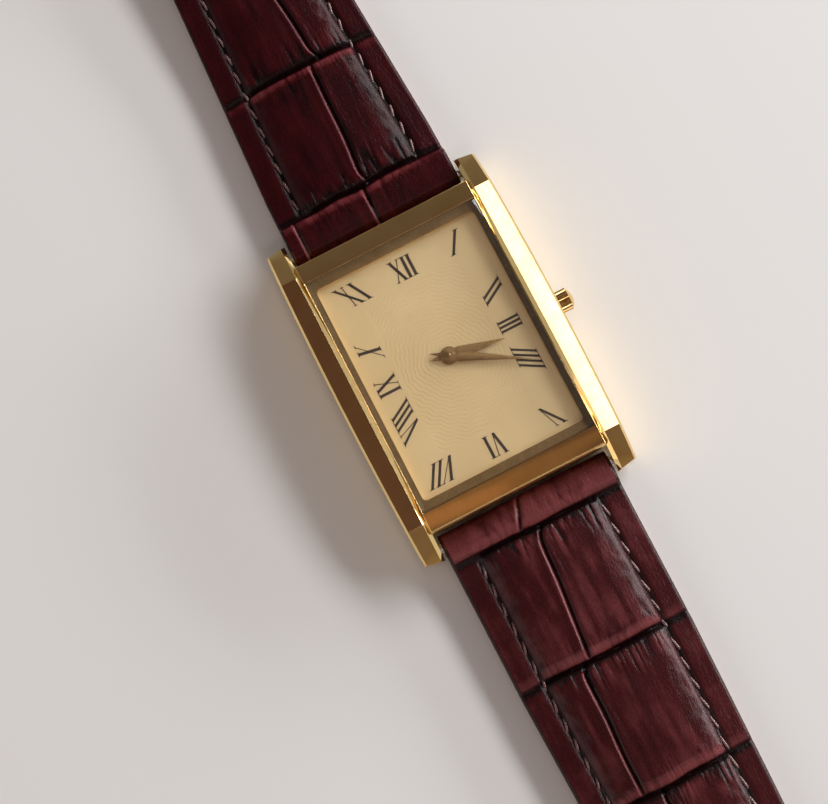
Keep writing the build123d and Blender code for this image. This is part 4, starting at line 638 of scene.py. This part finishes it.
def emboss_grooves(spec, face):
    """One groove along each row, from one place across it to another, with painted shade in it and a painted
    highlight on its left wall.
    """
    s, x = face.s, face.x
    places = [-1.3] + creases(spec) + [spec["length"] + 5]
    for a, b, (x0, x1) in zip(places, places[1:], spec["grooves"]):
        t = np.clip((s - a) / (b - a), 0, 1)
        wobble = 0.12 * noise(s * 0.22, 3.3 + x0, spec["seed"] + 4)
        centre = x0 + (x1 - x0) * t + wobble + 0.35 * bell(t - 0.02, 0.05)
        in_row = smooth(a - 0.1, a + 0.25, s) * (1 - smooth(b - 0.5, b + 0.1, s))
        fade = in_row * (face.m > 3.2)
        e = x - centre
        shape = 0.34 * bell(e, 0.20) - 0.06 * bell(e - 0.55, 0.35) - 0.04 * bell(e + 0.5, 0.3)
        face.z -= fade * shape * np.clip(face.crown, 0.35, 1.0)
        # Painted shade in the groove and a painted highlight on its left wall, which faces the key light
        face.tone += fade * (-0.45 * bell(e - 0.06, 0.16) + 0.40 * bell(e + 0.22, 0.12))
    if spec["side"] > 0:
        # A second groove on the fold, near its left end, with the same painted shade and painted highlight
        e = x + 8.0
        face.z -= face.roll_zone * 0.22 * bell(e, 0.18)
        face.tone += face.roll_zone * (-0.2 * bell(e, 0.14) + 0.4 * bell(e + 0.22, 0.13))


def sink_seam(spec, face):
    """Stitch line: a trench with a pucker at each stitch, darkened as painted shade."""
    s, m, seed = face.s, face.m, spec["seed"]
    past_end = smooth(SHORT_SEAM_END, SHORT_SEAM_END + 0.5, s) * (spec["side"] > 0)
    sewn = smooth(spec["roll"] + 0.1, spec["roll"] + 0.8, s) * (1 - past_end)
    face.z -= sewn * 0.20 * bell(m - MARGIN, 0.32)
    drift = 2.0 * noise(s * 0.3, 9.0, seed + 13)
    pucker = 1 + np.cos(2 * math.pi * s / STITCH_PITCH + drift)
    face.z -= sewn * 0.035 * pucker * bell(m - MARGIN - 0.75, 0.6)
    face.z += sewn * 0.040 * noise(face.x * 1.6, s * 1.5, seed + 14) * bell(m - MARGIN - 1.0, 0.7)
    # Painted shade in the trench
    face.tone -= sewn * 0.34 * bell(m - MARGIN, 0.30)


def roughen(spec, face):
    """Slow unevenness, fine wrinkles and a pale line along the rim, a painted highlight."""
    s, x, seed, inside = face.s, face.x, spec["seed"], face.inside
    slow = 0.035 * noise(x * 0.22, s * 0.16, seed + 6) * inside
    face.z += slow + 0.012 * noise(x * 0.9, s * 0.5, seed + 7)
    face.z += 0.014 * noise(x * 2.4, s * 0.30, seed + 8) * inside
    face.tone += 0.10 * noise(x * 1.7, s * 0.22, seed + 9) * inside
    # A painted highlight along the rim
    face.tone += 0.10 * bell(face.m - 0.25, 0.22)


def sink_openings(spec, face):
    """Dips round the punched holes of the long half, or round the tongue's slot in the short one."""
    if spec["side"] < 0:
        for place in HOLES:
            away = np.clip(np.hypot(face.s - place, face.x) - HOLE_RADIUS, 0, None)
            face.z -= 0.16 * bell(away, 0.35)
            # Painted shade in the dips round the holes
            face.tone -= 0.15 * bell(away, 0.3)
    else:
        beside = np.abs(face.x) - SLOT_HALF_WIDTH
        beyond = np.abs(face.s - spec["length"]) - SLOT_HALF_LENGTH
        face.z -= 0.10 * bell(np.clip(np.maximum(beside, beyond), 0, None), 0.35)


def strap_top(spec, s, x):
    """Height and tone of the outer face at a distance s and a place x across it."""
    face = padding(spec, s, x)
    arch_roll(spec, face)
    for k, place in enumerate(creases(spec)):
        emboss_crease(spec, face, k, place)
    emboss_grooves(spec, face)
    sink_seam(spec, face)
    roughen(spec, face)
    sink_openings(spec, face)
    return face.z, face.tone


def kept_share(past, reach):
    """Share of its height that the skin keeps where it rounds off past a bar."""
    return np.sqrt(np.clip(1 - (past / reach) ** 2, THINNEST, 1))


def round_top(spec, s, z):
    """Rounds the skin's top over the lug bar and, on the short half, over the buckle bar."""
    z = BAR_Z + (z - BAR_Z) * kept_share(np.minimum(s, 0), NOSE)
    if spec["side"] > 0:
        past = np.clip(s - spec["length"], 0, END_NOSE)
        z = BUCKLE_Z + (z - BUCKLE_Z) * kept_share(past, END_NOSE)
    return z


def round_low(spec, s, low):
    """Rounds the skin's lower side under the same bars."""
    low = np.where(s < 0, BAR_Z - NOSE * kept_share(np.minimum(s, 0), NOSE), low)
    if spec["side"] > 0:
        past = np.clip(s - spec["length"], 0, END_NOSE)
        low = np.where(s > spec["length"], BUCKLE_Z - END_NOSE * kept_share(past, END_NOSE), low)
    return low


def strap_stations(spec):
    """Distances of the skin's cross-sections, closer together at creases and rounded ends."""
    length = spec["length"]
    body = np.arange(0.0, length, 0.2)
    for place in creases(spec):
        body = body[np.abs(body - place) > 0.9]
        body = np.union1d(body, np.arange(place - 0.9, min(place + 0.91, length - 0.6), 0.1))
    nose = -NOSE * np.cos(np.linspace(0, math.pi / 2, 9))[:-1]
    if spec["side"] > 0:
        end = length + END_NOSE * np.sin(np.linspace(0, math.pi / 2, 9))
    else:
        end = length - TIP_ROUNDING * (1 - np.sin(np.linspace(0, math.pi / 2, 7)))
        body = body[body < length - 0.5]
    return np.concatenate([nose, body, end])


def hole_cutters(prefix):
    places = [-(BAR_Y + place) for place in HOLES]
    return [cylinder(f"{prefix}_{k}", (0, y, -2), (0, y, 8), HOLE_RADIUS, 36) for k, y in enumerate(places)]


def strap_skin(spec, name, body_name, node_name, mat):
    """Closed skin of the padded outer leather."""
    side, length = spec["side"], spec["length"]
    stations = strap_stations(spec)
    half = half_width(spec, stations)
    low = table(spec["floor"], stations) + LINING * smooth(LINING_START - 0.45, LINING_START - 0.05, stations)
    if side > 0:
        low = low - LINING * smooth(length - 2.3, length - 1.9, stations)
    low = round_low(spec, stations, low)
    rounding, foot = 0.42, 0.10
    s_all = np.repeat(stations, ACROSS_SKIN)
    x_all = np.concatenate([np.linspace(-(h - rounding), h - rounding, ACROSS_SKIN) for h in half])
    z_all, tone_all = strap_top(spec, s_all, x_all)
    z_all = round_top(spec, s_all, z_all).reshape(-1, ACROSS_SKIN)
    x_all, tone_all = x_all.reshape(-1, ACROSS_SKIN), tone_all.reshape(-1, ACROSS_SKIN)
    if side < 0:
        rim = np.clip(stations - (length - TIP_ROUNDING), 0, TIP_ROUNDING)
        z_all -= (TIP_ROUNDING - np.sqrt(TIP_ROUNDING**2 - rim**2))[:, None]
    arc = np.linspace(math.pi / 2, 0, 5)
    verts, tones = [], []
    for s, h, bottom, x, z, tone in zip(stations, half, low, x_all, z_all, tone_all):
        top = np.maximum(z, bottom + 0.05)
        room = top.min() - bottom
        r, f = min(rounding, 0.45 * room), min(foot, 0.2 * room)
        left = [(-(h - f), bottom), (-h, bottom + f)]
        left += [(-(h - rounding) - rounding * math.cos(a), top[0] - r + r * math.sin(a))
                 for a in arc[::-1][:-1]]
        right = [((h - rounding) + rounding * math.cos(a), top[-1] - r + r * math.sin(a)) for a in arc[1:]]
        right += [(h, bottom + f), (h - f, bottom)]
        under = [(h * (1 - 2 * k / 8), bottom) for k in range(1, 8)]
        ring = left + list(zip(x, top)) + right + under
        y = side * (BAR_Y + s)
        verts += [(px, y, pz) for px, pz in ring]
        tones += [0.12] * len(left) + list(tone) + [0.12] * len(right) + [0.2] * len(under)
    faces = tube_faces(len(stations), len(ring), flip=side > 0)
    obj = mesh_piece(name, verts, faces, mat, tone=tones)
    bar = side * BAR_Y
    cutters = [cylinder("cut_bore", (-12, bar, BAR_Z), (12, bar, BAR_Z), BORE)]
    if side > 0:
        buckle = BAR_Y + length
        cutters.append(cylinder("cut_end_bore", (-12, buckle, BUCKLE_Z), (12, buckle, BUCKLE_Z), BORE))
        cutters.append(block("cut_slot", (-SLOT_HALF_WIDTH, buckle - SLOT_HALF_LENGTH, -1),
                             (SLOT_HALF_WIDTH, buckle + SLOT_HALF_LENGTH, 8)))
    else:
        cutters += hole_cutters("cut_hole")
    cut(obj, cutters)
    settle(obj, body_name, (node_name,))


def strap_lining(spec, name, body_name, node_name):
    """Thin flat lining with rounded lower edges and a soft dent along its seam."""
    side, seed = spec["side"], spec["seed"]
    end = spec["length"] - (LINING_SHORT_BY if side > 0 else 0)
    stations = np.unique(np.concatenate([np.arange(LINING_START, end, 0.5), [end]]))
    rounding, chamfer = 0.22, 0.05
    arc = np.linspace(0, math.pi / 2, 5)
    verts, tones = [], []
    for s, h, z0 in zip(stations, half_width(spec, stations), table(spec["floor"], stations)):
        x = np.linspace(h - rounding, -(h - rounding), ACROSS_LINING)
        dent = bell(edge_distance(spec, np.full_like(x, s), x) - MARGIN, 0.3)
        low = z0 + 0.02 + 0.10 * dent + 0.012 * noise(x * 0.8, s * 0.5, seed)
        top = z0 + LINING - 0.012
        right = [(-h + chamfer, top), (h - chamfer, top), (h, top - chamfer)]
        right += [(h - rounding + rounding * math.cos(a), low[0] + rounding - rounding * math.sin(a))
                  for a in arc[:-1]]
        left = [(-(h - rounding) - rounding * math.cos(a), low[-1] + rounding - rounding * math.sin(a))
                for a in arc[::-1][1:]]
        left += [(-h, top - chamfer)]
        ring = right + list(zip(x, low)) + left
        y = side * (BAR_Y + s)
        verts += [(px, y, pz) for px, pz in ring]
        # The dent along the seam is darkened: painted shade
        tones += [0.3] * len(right) + list(0.35 - 0.15 * dent) + [0.3] * len(left)
    faces = tube_faces(len(stations), len(ring), flip=side > 0)
    obj = mesh_piece(name, verts, faces, LINING_MAT, tone=tones)
    if side < 0:
        cut(obj, hole_cutters("cut_lining"))
    settle(obj, body_name, (node_name,))


def stitch_line(spec):
    """Points (s, x) and headings along the seam, one for each stitch."""
    start, length = spec["roll"] + 0.55, spec["length"]
    if spec["side"] > 0:
        s = np.arange(start + STITCH_PITCH / 2, SHORT_SEAM_END, STITCH_PITCH)
        out = []
        for sign in (-1, 1):
            x = sign * (half_width(spec, s) - MARGIN)
            heading = np.arctan2(np.gradient(x, s), 1.0)
            out += list(zip(s, x, heading))
        return out
    # The long half's seam runs round the point: the outline, moved inwards by the margin
    outline_s = np.concatenate([np.linspace(start, length - TIP_LENGTH, 400),
                                np.linspace(length - TIP_LENGTH, length, 160)[1:]])
    outline = with_flat_end(spec, np.stack([outline_s, half_width(spec, outline_s)], 1), 12, skip=1)
    tangent = np.gradient(outline, axis=0)
    tangent /= np.linalg.norm(tangent, axis=1)[:, None]
    inset = outline + MARGIN * np.stack([tangent[:, 1], -tangent[:, 0]], 1)
    d = np.array([edge_distance(spec, np.array([p[0]]), np.array([p[1]]))[0] for p in inset])
    inset = inset[(inset[:, 1] > 0) & (d > MARGIN - 0.12)]
    line = np.vstack([inset, (length - MARGIN, 0.0)])
    line = np.vstack([line, (line[:-1] * (1, -1))[::-1]])
    steps = np.concatenate([[0], np.cumsum(np.linalg.norm(np.diff(line, axis=0), axis=1))])
    count = int(steps[-1] // STITCH_PITCH)
    at = (np.arange(count) + 0.5) * steps[-1] / count
    (s, x), (s0, x0), (s1, x1) = (
        (np.interp(at + d, steps, line[:, 0]), np.interp(at + d, steps, line[:, 1])) for d in (0, -0.3, 0.3))
    return list(zip(s, x, np.arctan2(x1 - x0, s1 - s0)))


def stitches(spec, name, body_name):
    """Slanted thread loops above and below, their ends sunk into the leather."""
    side = spec["side"]
    places = stitch_line(spec)
    s, x = np.array([p[0] for p in places]), np.array([p[1] for p in places])
    rng = np.random.RandomState(spec["seed"] + 40)
    around, along = 8, 7
    verts, faces = [], []
    for up, level in ((1.0, strap_top(spec, s, x)[0] + 0.06), (-1.0, table(spec["floor"], s) + 0.16)):
        for (ps, px, heading), pz in zip(places, level):
            slant = heading + STITCH_SLANT * (1 if px > 0 else -1) * up + rng.uniform(-0.05, 0.05)
            length = STITCH_TOP + rng.uniform(-0.08, 0.08) if up > 0 else STITCH_UNDER
            radius = THREAD_RADIUS + rng.uniform(-0.01, 0.01)
            faces += tube_faces(along, around, flip=side > 0, base=len(verts))
            for i in range(along):
                t = -1 + 2 * i / (along - 1)
                lift = (0.09 * (1 - t * t) - 0.20 * t**4) * up * (1 if up > 0 else 0.4)
                r = radius * (1 - 0.45 * t**4)
                cs = ps + math.cos(slant) * t * length / 2
                cx = px + math.sin(slant) * t * length / 2
                for k in range(around):
                    a = 2 * math.pi * k / around
                    off_x, off_z = r * math.cos(a), r * 0.72 * math.sin(a)
                    verts.append((
                        cx + off_x * math.cos(slant),
                        side * (BAR_Y + cs - off_x * math.sin(slant)),
                        pz + lift + off_z,
                    ))
    obj = mesh_piece(name, verts, faces, THREAD, sharp=60)
    settle(obj, body_name)


strap_skin(SHORT, "short_strap_leather", "short_strap", "short_strap_top", LEATHER_SHADED)
strap_lining(SHORT, "short_strap_underside", "short_strap", "short_strap_lining")
stitches(SHORT, "short_strap_stitches", "short_strap")
strap_skin(LONG, "long_strap_leather", "long_strap", "long_strap_top", LEATHER)
strap_lining(LONG, "long_strap_underside", "long_strap", "long_strap_lining")
stitches(LONG, "long_strap_stitches", "long_strap")


def keeper(name, body_name, node_name):
    """Closed leather loop with rolled edges and a creased line along each of them."""
    low, high = [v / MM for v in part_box(node_name)]
    y_mid, length = (low.y + high.y) / 2, high.y - low.y
    half_w, half_h, z_mid = (high.x - low.x) / 2, (high.z - low.z) / 2, (high.z + low.z) / 2
    wall, corner, step = 1.0, 1.3, 0.25
    path = []
    for cx, cz, a0 in ((1, 1, 0), (-1, 1, 90), (-1, -1, 180), (1, -1, 270)):
        for a in np.linspace(a0, a0 + 90, 9):
            path.append((cx * (half_w - corner), cz * (half_h - corner), math.radians(a)))
    dense = []
    for (x0, z0, a0), (x1, z1, _) in zip(path, path[1:] + path[:1]):
        steps = max(1, int(math.hypot(x1 - x0, z1 - z0) / step))
        dense += [(x0 + (x1 - x0) * k / steps, z0 + (z1 - z0) * k / steps, a0) for k in range(steps)]
    y = np.linspace(-length / 2, length / 2, 41)
    edge = length / 2 - np.abs(y)
    line = bell(edge - 0.75, 0.14)
    dip = 0.30 * (1 - smooth(0.0, 0.45, edge)) + 0.07 * line
    inner = corner - wall + 0.02 + 0.18 * (1 - smooth(0.0, 0.35, edge))
    verts, tones = [], []
    for i, (cx, cz, a) in enumerate(dense):
        nx, nz = math.cos(a), math.sin(a)
        swell = 0.02 * noise(i * 0.21, y * 0.9 + 3, 61)
        outer = corner - dip - 0.02 + swell
        for r, yy in list(zip(outer, y)) + list(zip(inner[::-1], y[::-1])):
            verts.append((cx + nx * r, y_mid + yy, z_mid + cz + nz * r))
        # The creased lines are darkened as painted shade and the rolled edges lightened as a painted
        # highlight; the inside is darker
        tones += list(0.34 - 0.25 * line + 0.12 * bell(edge - 0.2, 0.2)) + [0.15] * len(y)
    faces = tube_faces(len(dense), 2 * len(y), loop=True)
    obj = mesh_piece(name, verts, faces, LEATHER, tone=tones)
    settle(obj, body_name, (node_name,))


keeper("fixed_keeper_leather", "short_strap", "fixed_keeper")
keeper("free_keeper_leather", "free_keeper_body", "free_keeper")


# Dial

def dial_face():
    """Thin face on the dial's plate, with fine flowered waves in its middle and a hole for the hands."""
    nx, ny = DIAL_STEPS
    gx, gy = np.meshgrid(*[np.linspace(-half, half, n) for half, n in zip(DIAL_HALF, DIAL_STEPS)])
    r, angle = np.hypot(gx, gy), np.arctan2(gy, gx)
    wavy = r * (1 + 0.016 * np.sin(24 * angle + 0.5 * r)) + 0.16 * np.sin(6 * angle - 0.5 * r)
    border = np.minimum(PANEL_HALF[0] - np.abs(gx), PANEL_HALF[1] - np.abs(gy))
    wave = WAVE_HEIGHT * np.sin(2 * math.pi * wavy / WAVE_PITCH) - WAVE_HEIGHT
    z = DIAL_Z + 0.030 + smooth(0.0, 0.25, border) * wave
    verts = np.stack([gx.ravel(), gy.ravel(), z.ravel()], 1)
    # The grid's points near the middle are drawn onto the rim of the hole
    hole = 0.85
    flat = np.hypot(verts[:, 0], verts[:, 1])
    near = flat < hole + 0.06
    pull = hole / np.maximum(flat[near], 1e-6)
    verts[near, :2] *= pull[:, None]
    faces = []
    for j in range(ny - 1):
        for i in range(nx - 1):
            quad = (j * nx + i, j * nx + i + 1, (j + 1) * nx + i + 1, (j + 1) * nx + i)
            if not all(near[k] for k in quad):
                faces.append(quad)
    under = len(verts)
    rim = list(range(nx)) + [j * nx + nx - 1 for j in range(1, ny)]
    rim += [(ny - 1) * nx + i for i in range(nx - 2, -1, -1)] + [j * nx for j in range(ny - 2, 0, -1)]
    low = verts[rim].copy()
    low[:, 2] = DIAL_Z + 0.002
    verts = np.vstack([verts, low])
    for k in range(len(rim)):
        q = (k + 1) % len(rim)
        faces.append((rim[q], rim[k], under + k, under + q))
    obj = mesh_piece("dial_face", verts, faces, DIAL, sharp=80)
    settle(obj, "case")
    shell = bmesh.new()
    shell.from_mesh(obj.data)
    bmesh.ops.delete(shell, geom=[v for v in shell.verts if not v.link_faces], context="VERTS")
    shell.to_mesh(obj.data)
    shell.free()


dial_face()

# Numerals as strokes side by side, with a weight for each numeral
NUMERALS = {
    "I": ([("I", 0.0)], 1.0),
    "II": ([("I", -0.33), ("I", 0.33)], 1.0),
    "III": ([("I", -0.48), ("I", 0.0), ("I", 0.48)], 0.8),
    "IIII": ([("I", -0.92), ("I", -0.31), ("I", 0.30), ("I", 0.92)], 0.85),
    "V": ([("V", 0.0)], 1.0),
    "VI": ([("V", -0.46), ("I", 0.52)], 0.95),
    "VII": ([("V", -1.00), ("I", 0.02), ("I", 0.78)], 1.0),
    "VIII": ([("V", -1.28), ("I", -0.20), ("I", 0.42), ("I", 1.04)], 0.95),
    "IX": ([("I", -0.55), ("X", 0.45)], 0.95),
    "X": ([("X", 0.0)], 1.0),
    "XI": ([("X", -0.62), ("I", 0.66)], 1.05),
    "XII": ([("X", -0.66), ("I", 0.31), ("I", 0.92)], 1.0),
}
# (numeral, side of the dial, place along that side, shear)
NUMERAL_PLACES = (
    ("XII", "top", 0.0, 0.0), ("I", "top", 5.95, 0.577), ("II", "right", 3.97, 0.577),
    ("III", "right", 0.11, 0.0), ("IIII", "right", -3.95, -0.577), ("V", "bottom", 6.33, -0.577),
    ("VI", "bottom", -0.20, 0.0), ("VII", "bottom", -6.42, 0.577), ("VIII", "left", -3.72, 0.577),
    ("IX", "left", 0.0, 0.0), ("X", "left", 4.21, -0.577), ("XI", "top", -5.78, -0.577),
)


def serif(a, width, foot, reach=SERIF_REACH):
    return a - width / 2 - reach, a + width / 2 + reach, foot


def numeral_strokes(text):
    """Strokes (a at foot, a at head, width) and serifs (from, to, end) of a numeral, from its own middle."""
    parts, weight = NUMERALS[text]
    strokes, serifs = [], []
    thick = THICK * weight
    for kind, a in parts:
        if kind == "I":
            strokes.append((a, a, thick))
            serifs += [serif(a, thick, end, UPRIGHT_REACH) for end in (0, 1)]
        elif kind == "X":
            strokes += [(a + 0.47, a - 0.47, thick), (a - 0.44, a + 0.44, THIN)]
            serifs += [serif(a - 0.44, THIN, 0), serif(a + 0.47, thick, 0),
                       serif(a - 0.47, thick, 1), serif(a + 0.44, THIN, 1)]
        else:
            strokes += [(a, a - 0.45, thick), (a + 0.04, a + 0.45, THIN)]
            serifs += [serif(a - 0.45, thick, 1), serif(a + 0.45, THIN, 1)]
    return strokes, serifs


def dial_point(side, centre, shear, inner, outer, a, b):
    """Place on the dial for a across a numeral and b from its foot (0) to its head (1)."""
    out = inner + b * (outer - inner)
    along = out - (inner + outer) / 2
    if side == "top":
        return centre + a + shear * along, out
    if side == "bottom":
        return centre - a - shear * along, -out
    if side == "right":
        return out, centre - a + shear * along
    return -out, centre + a - shear * along


def numerals():
    """Roman numerals, each with its foot towards the dial's centre and sheared to fill its ring."""
    verts, faces = [], []
    low, high = DIAL_Z + 0.026, DIAL_Z + 0.052

    def put(ring, places):
        """Adds a flat bar with corners at (a, b) places of a numeral."""
        corners = [dial_point(*ring, a, b) for a, b in places]
        faces.extend(tube_faces(2, len(corners), base=len(verts)))
        verts.extend((px, py, z) for z in (low, high) for px, py in corners)

    for text, side, centre, shear in NUMERAL_PLACES:
        inner, outer = RING_TOP if side in ("top", "bottom") else RING_SIDE
        share = SERIF / (outer - inner)
        ring = (side, centre, shear, inner, outer)
        strokes, serifs = numeral_strokes(text)
        for foot, head, width in strokes:
            half = width / 2
            put(ring, ((foot - half, 0), (foot + half, 0), (head + half, 1), (head - half, 1)))
        for left, right, end in serifs:
            b0, b1 = (0, share) if end == 0 else (1 - share, 1)
            put(ring, ((left, b0), (right, b0), (right, b1), (left, b1)))
    obj = mesh_piece("dial_numerals", verts, faces, INK, sharp=30)
    settle(obj, "case")


numerals()


def pivot_cap():
    """Flat cap pressed on the centre pipe, with a small domed pin in its middle."""
    profile = [(0.52, 4.925), (0.52, 4.945), (0.505, 4.955), (0.48, 4.959), (0.17, 4.961), (0.15, 4.968),
               (0.14, 4.980), (0.11, 4.990), (0.06, 4.996), (0.015, 4.998)]
    around = 48
    turn = [2 * math.pi * k / around for k in range(around)]
    verts = [(r * math.cos(a), r * math.sin(a), z) for r, z in profile for a in turn]
    obj = mesh_piece("pivot_cap", verts, tube_faces(len(profile), around),
                     SLOT_MATERIALS["hand_gold"])
    settle(obj, "minute_body")


pivot_cap()


def coil():
    """Enamelled wire wound in close turns."""
    low, high = [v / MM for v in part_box("coil_winding")]
    yc, zc = (low.y + high.y) / 2, (low.z + high.z) / 2
    turns, per_turn, around, swell = 52, 6, 48, 0.03
    steps = turns * per_turn
    xs = np.linspace(low.x, high.x, steps + 1)
    waves = np.abs(np.sin(math.pi * turns * (xs - low.x) / (high.x - low.x)))
    radii = (high.y - low.y) / 2 - swell + swell * waves
    turn = [2 * math.pi * k / around for k in range(around)]
    verts = [(x, yc + r * math.cos(a), zc + r * math.sin(a)) for x, r in zip(xs, radii) for a in turn]
    faces = tube_faces(steps + 1, around, flip=True)
    obj = mesh_piece("coil_wire", verts, faces, SLOT_MATERIALS["coil_copper"], sharp=70)
    settle(obj, "case", ("coil_winding",))


coil()


# Stage, lights and camera

# Floor sizes in millimetres, and places of lights in metres
FLOOR_HALF, FLOOR_DROP = 3000.0, 0.02

# (height, colour) stops of the world's light, level with the object, on its 6 side and on its 12 side
ZENITH = (0.93, (0.12, 0.072, 0.063))
WORLD_LEVEL = ((0.0, (0.62,) * 3), (0.45, (0.60,) * 3), (0.75, (0.22, 0.195, 0.175)), ZENITH)
WORLD_FRONT = ((0.0, (0.62,) * 3), (0.20, (0.60, 0.58, 0.54)), (0.36, (0.20, 0.15, 0.10)),
               (0.62, (0.16, 0.115, 0.08)), ZENITH)
WORLD_BACK = ((0.0, (0.50,) * 3), (0.30, (0.36, 0.31, 0.27)), (0.75, (0.20, 0.17, 0.15)), ZENITH)

# (name, place, aim, size, power, colour), where the cards are mirrored in the polished case
LIGHTS = (
    ("key_high", (0.61, 0.12, 0.39), (0, 0, 0), (0.9, 0.15), 4.3, (1, 1, 1)),
    ("key_low", (0.70, 0.12, 0.155), (0, 0, 0), (0.9, 0.10), 4.2, (1, 1, 1)),
    ("fill_left", (-0.60, -0.20, 0.35), (0, 0, 0), (0.5, 0.5), 0.5, (1.0, 0.80, 0.68)),
    ("top_card", (0.071, 0.10, 0.60), (0.071, 0.10, 0), (0.016, 0.36), 0.069, (0.94, 0.97, 1.0)),
    ("front_card", (0.01, -0.20, 0.60), (0.01, -0.20, 0), (0.10, 0.05), 0.0014, (1.0, 0.62, 0.20)),
    ("sheen_card", (0.0, -0.31, 0.55), (0, 0, 0), (0.50, 0.09), 0.22, (1.0, 0.84, 0.82)),
    ("streak_card", (-0.0086, -0.1971, 0.590), (-0.0086, -0.1971, 0), (0.072, 0.030), 0.0010,
     (1.0, 0.46, 0.24)),
)
STREAK_TURN = -13.7

# Camera fitted to the photograph's corners: angles in degrees, lengths in millimetres
THETA, PHI, ROLL = math.radians(8.585), math.radians(1.247), math.radians(-27.449)
TARGET = Vector((-5.403, -2.519, 4.0)) * MM
DISTANCE = 222.682 * MM
FOCAL_PIXELS, FRAME_PIXELS, SENSOR = 2158.16, 828, 36.0


def stage_floor():
    corners = [(x * FLOOR_HALF, y * FLOOR_HALF, 0) for x, y in ((-1, -1), (1, -1), (1, 1), (-1, 1))]
    mesh = new_mesh("floor", corners, [(0, 1, 2, 3)])
    mat, _, shader = material("floor_pale", (0.86, 0.86, 0.86), 0.0, 0.7)
    shader.inputs["Specular IOR Level"].default_value = 0.2
    mesh.materials.append(mat)
    obj = add_object("floor", mesh)
    obj.location.z = -FLOOR_DROP * MM


def area_light(name, place, aim, size, power, color):
    light = bpy.data.lights.new(name, "AREA")
    light.shape = "RECTANGLE"
    light.size, light.size_y = size
    light.energy = power
    light.color = color
    obj = add_object(name, light)
    obj.location = place
    obj.rotation_euler = (Vector(aim) - Vector(place)).to_track_quat("-Z", "Y").to_euler()
    return obj


def world_light():
    world = bpy.data.worlds.new("studio")
    bpy.context.scene.world = world
    world.use_nodes = True
    nt = world.node_tree
    back = nt.nodes["Background"]
    tex = node(nt, "ShaderNodeTexCoord")
    split = node(nt, "ShaderNodeSeparateXYZ")
    nt.links.new(tex.outputs["Generated"], split.inputs["Vector"])
    light = ramp(nt, split.outputs["Z"], WORLD_LEVEL)
    for stops, first, last in ((WORLD_FRONT, -0.35, -0.75), (WORLD_BACK, 0.35, 0.75)):
        side = ramp(nt, split.outputs["Z"], stops)
        blend = node(nt, "ShaderNodeMix", data_type="RGBA")
        nt.links.new(grey(nt, split.outputs["Y"], 0.0, 1.0, first, last), blend.inputs["Factor"])
        nt.links.new(light, blend.inputs[6])
        nt.links.new(side, blend.inputs[7])
        light = blend.outputs[2]
    lean = multiply_add(nt, split.outputs["Y"], -0.40, 0.92)
    scaled = node(nt, "ShaderNodeVectorMath", operation="SCALE")
    nt.links.new(light, scaled.inputs[0])
    nt.links.new(lean, scaled.inputs["Scale"])
    nt.links.new(scaled.outputs["Vector"], back.inputs["Color"])
    back.inputs["Strength"].default_value = 1.0


def make_camera():
    data = bpy.data.cameras.new("camera")
    data.lens = FOCAL_PIXELS / FRAME_PIXELS * SENSOR
    data.sensor_width = SENSOR
    data.clip_start, data.clip_end = 0.005, 20.0
    cam = add_object("camera", data)
    view = Vector((-math.sin(PHI), -math.sin(THETA) * math.cos(PHI), math.cos(THETA) * math.cos(PHI)))
    across = Vector((0, 1, 0)).cross(view).normalized()
    up = view.cross(across)
    right = across * math.cos(ROLL) + up * math.sin(ROLL)
    above = -across * math.sin(ROLL) + up * math.cos(ROLL)
    place = TARGET + view * DISTANCE
    cam.matrix_world = Matrix((
        (right.x, above.x, view.x, place.x),
        (right.y, above.y, view.y, place.y),
        (right.z, above.z, view.z, place.z),
        (0, 0, 0, 1),
    ))
    bpy.context.scene.camera = cam


stage_floor()
world_light()
lamps = {row[0]: area_light(*row) for row in LIGHTS}
lamps["streak_card"].rotation_euler.rotate_axis("Z", math.radians(STREAK_TURN))
make_camera()
bpy.context.scene.view_settings.view_transform = "Standard"
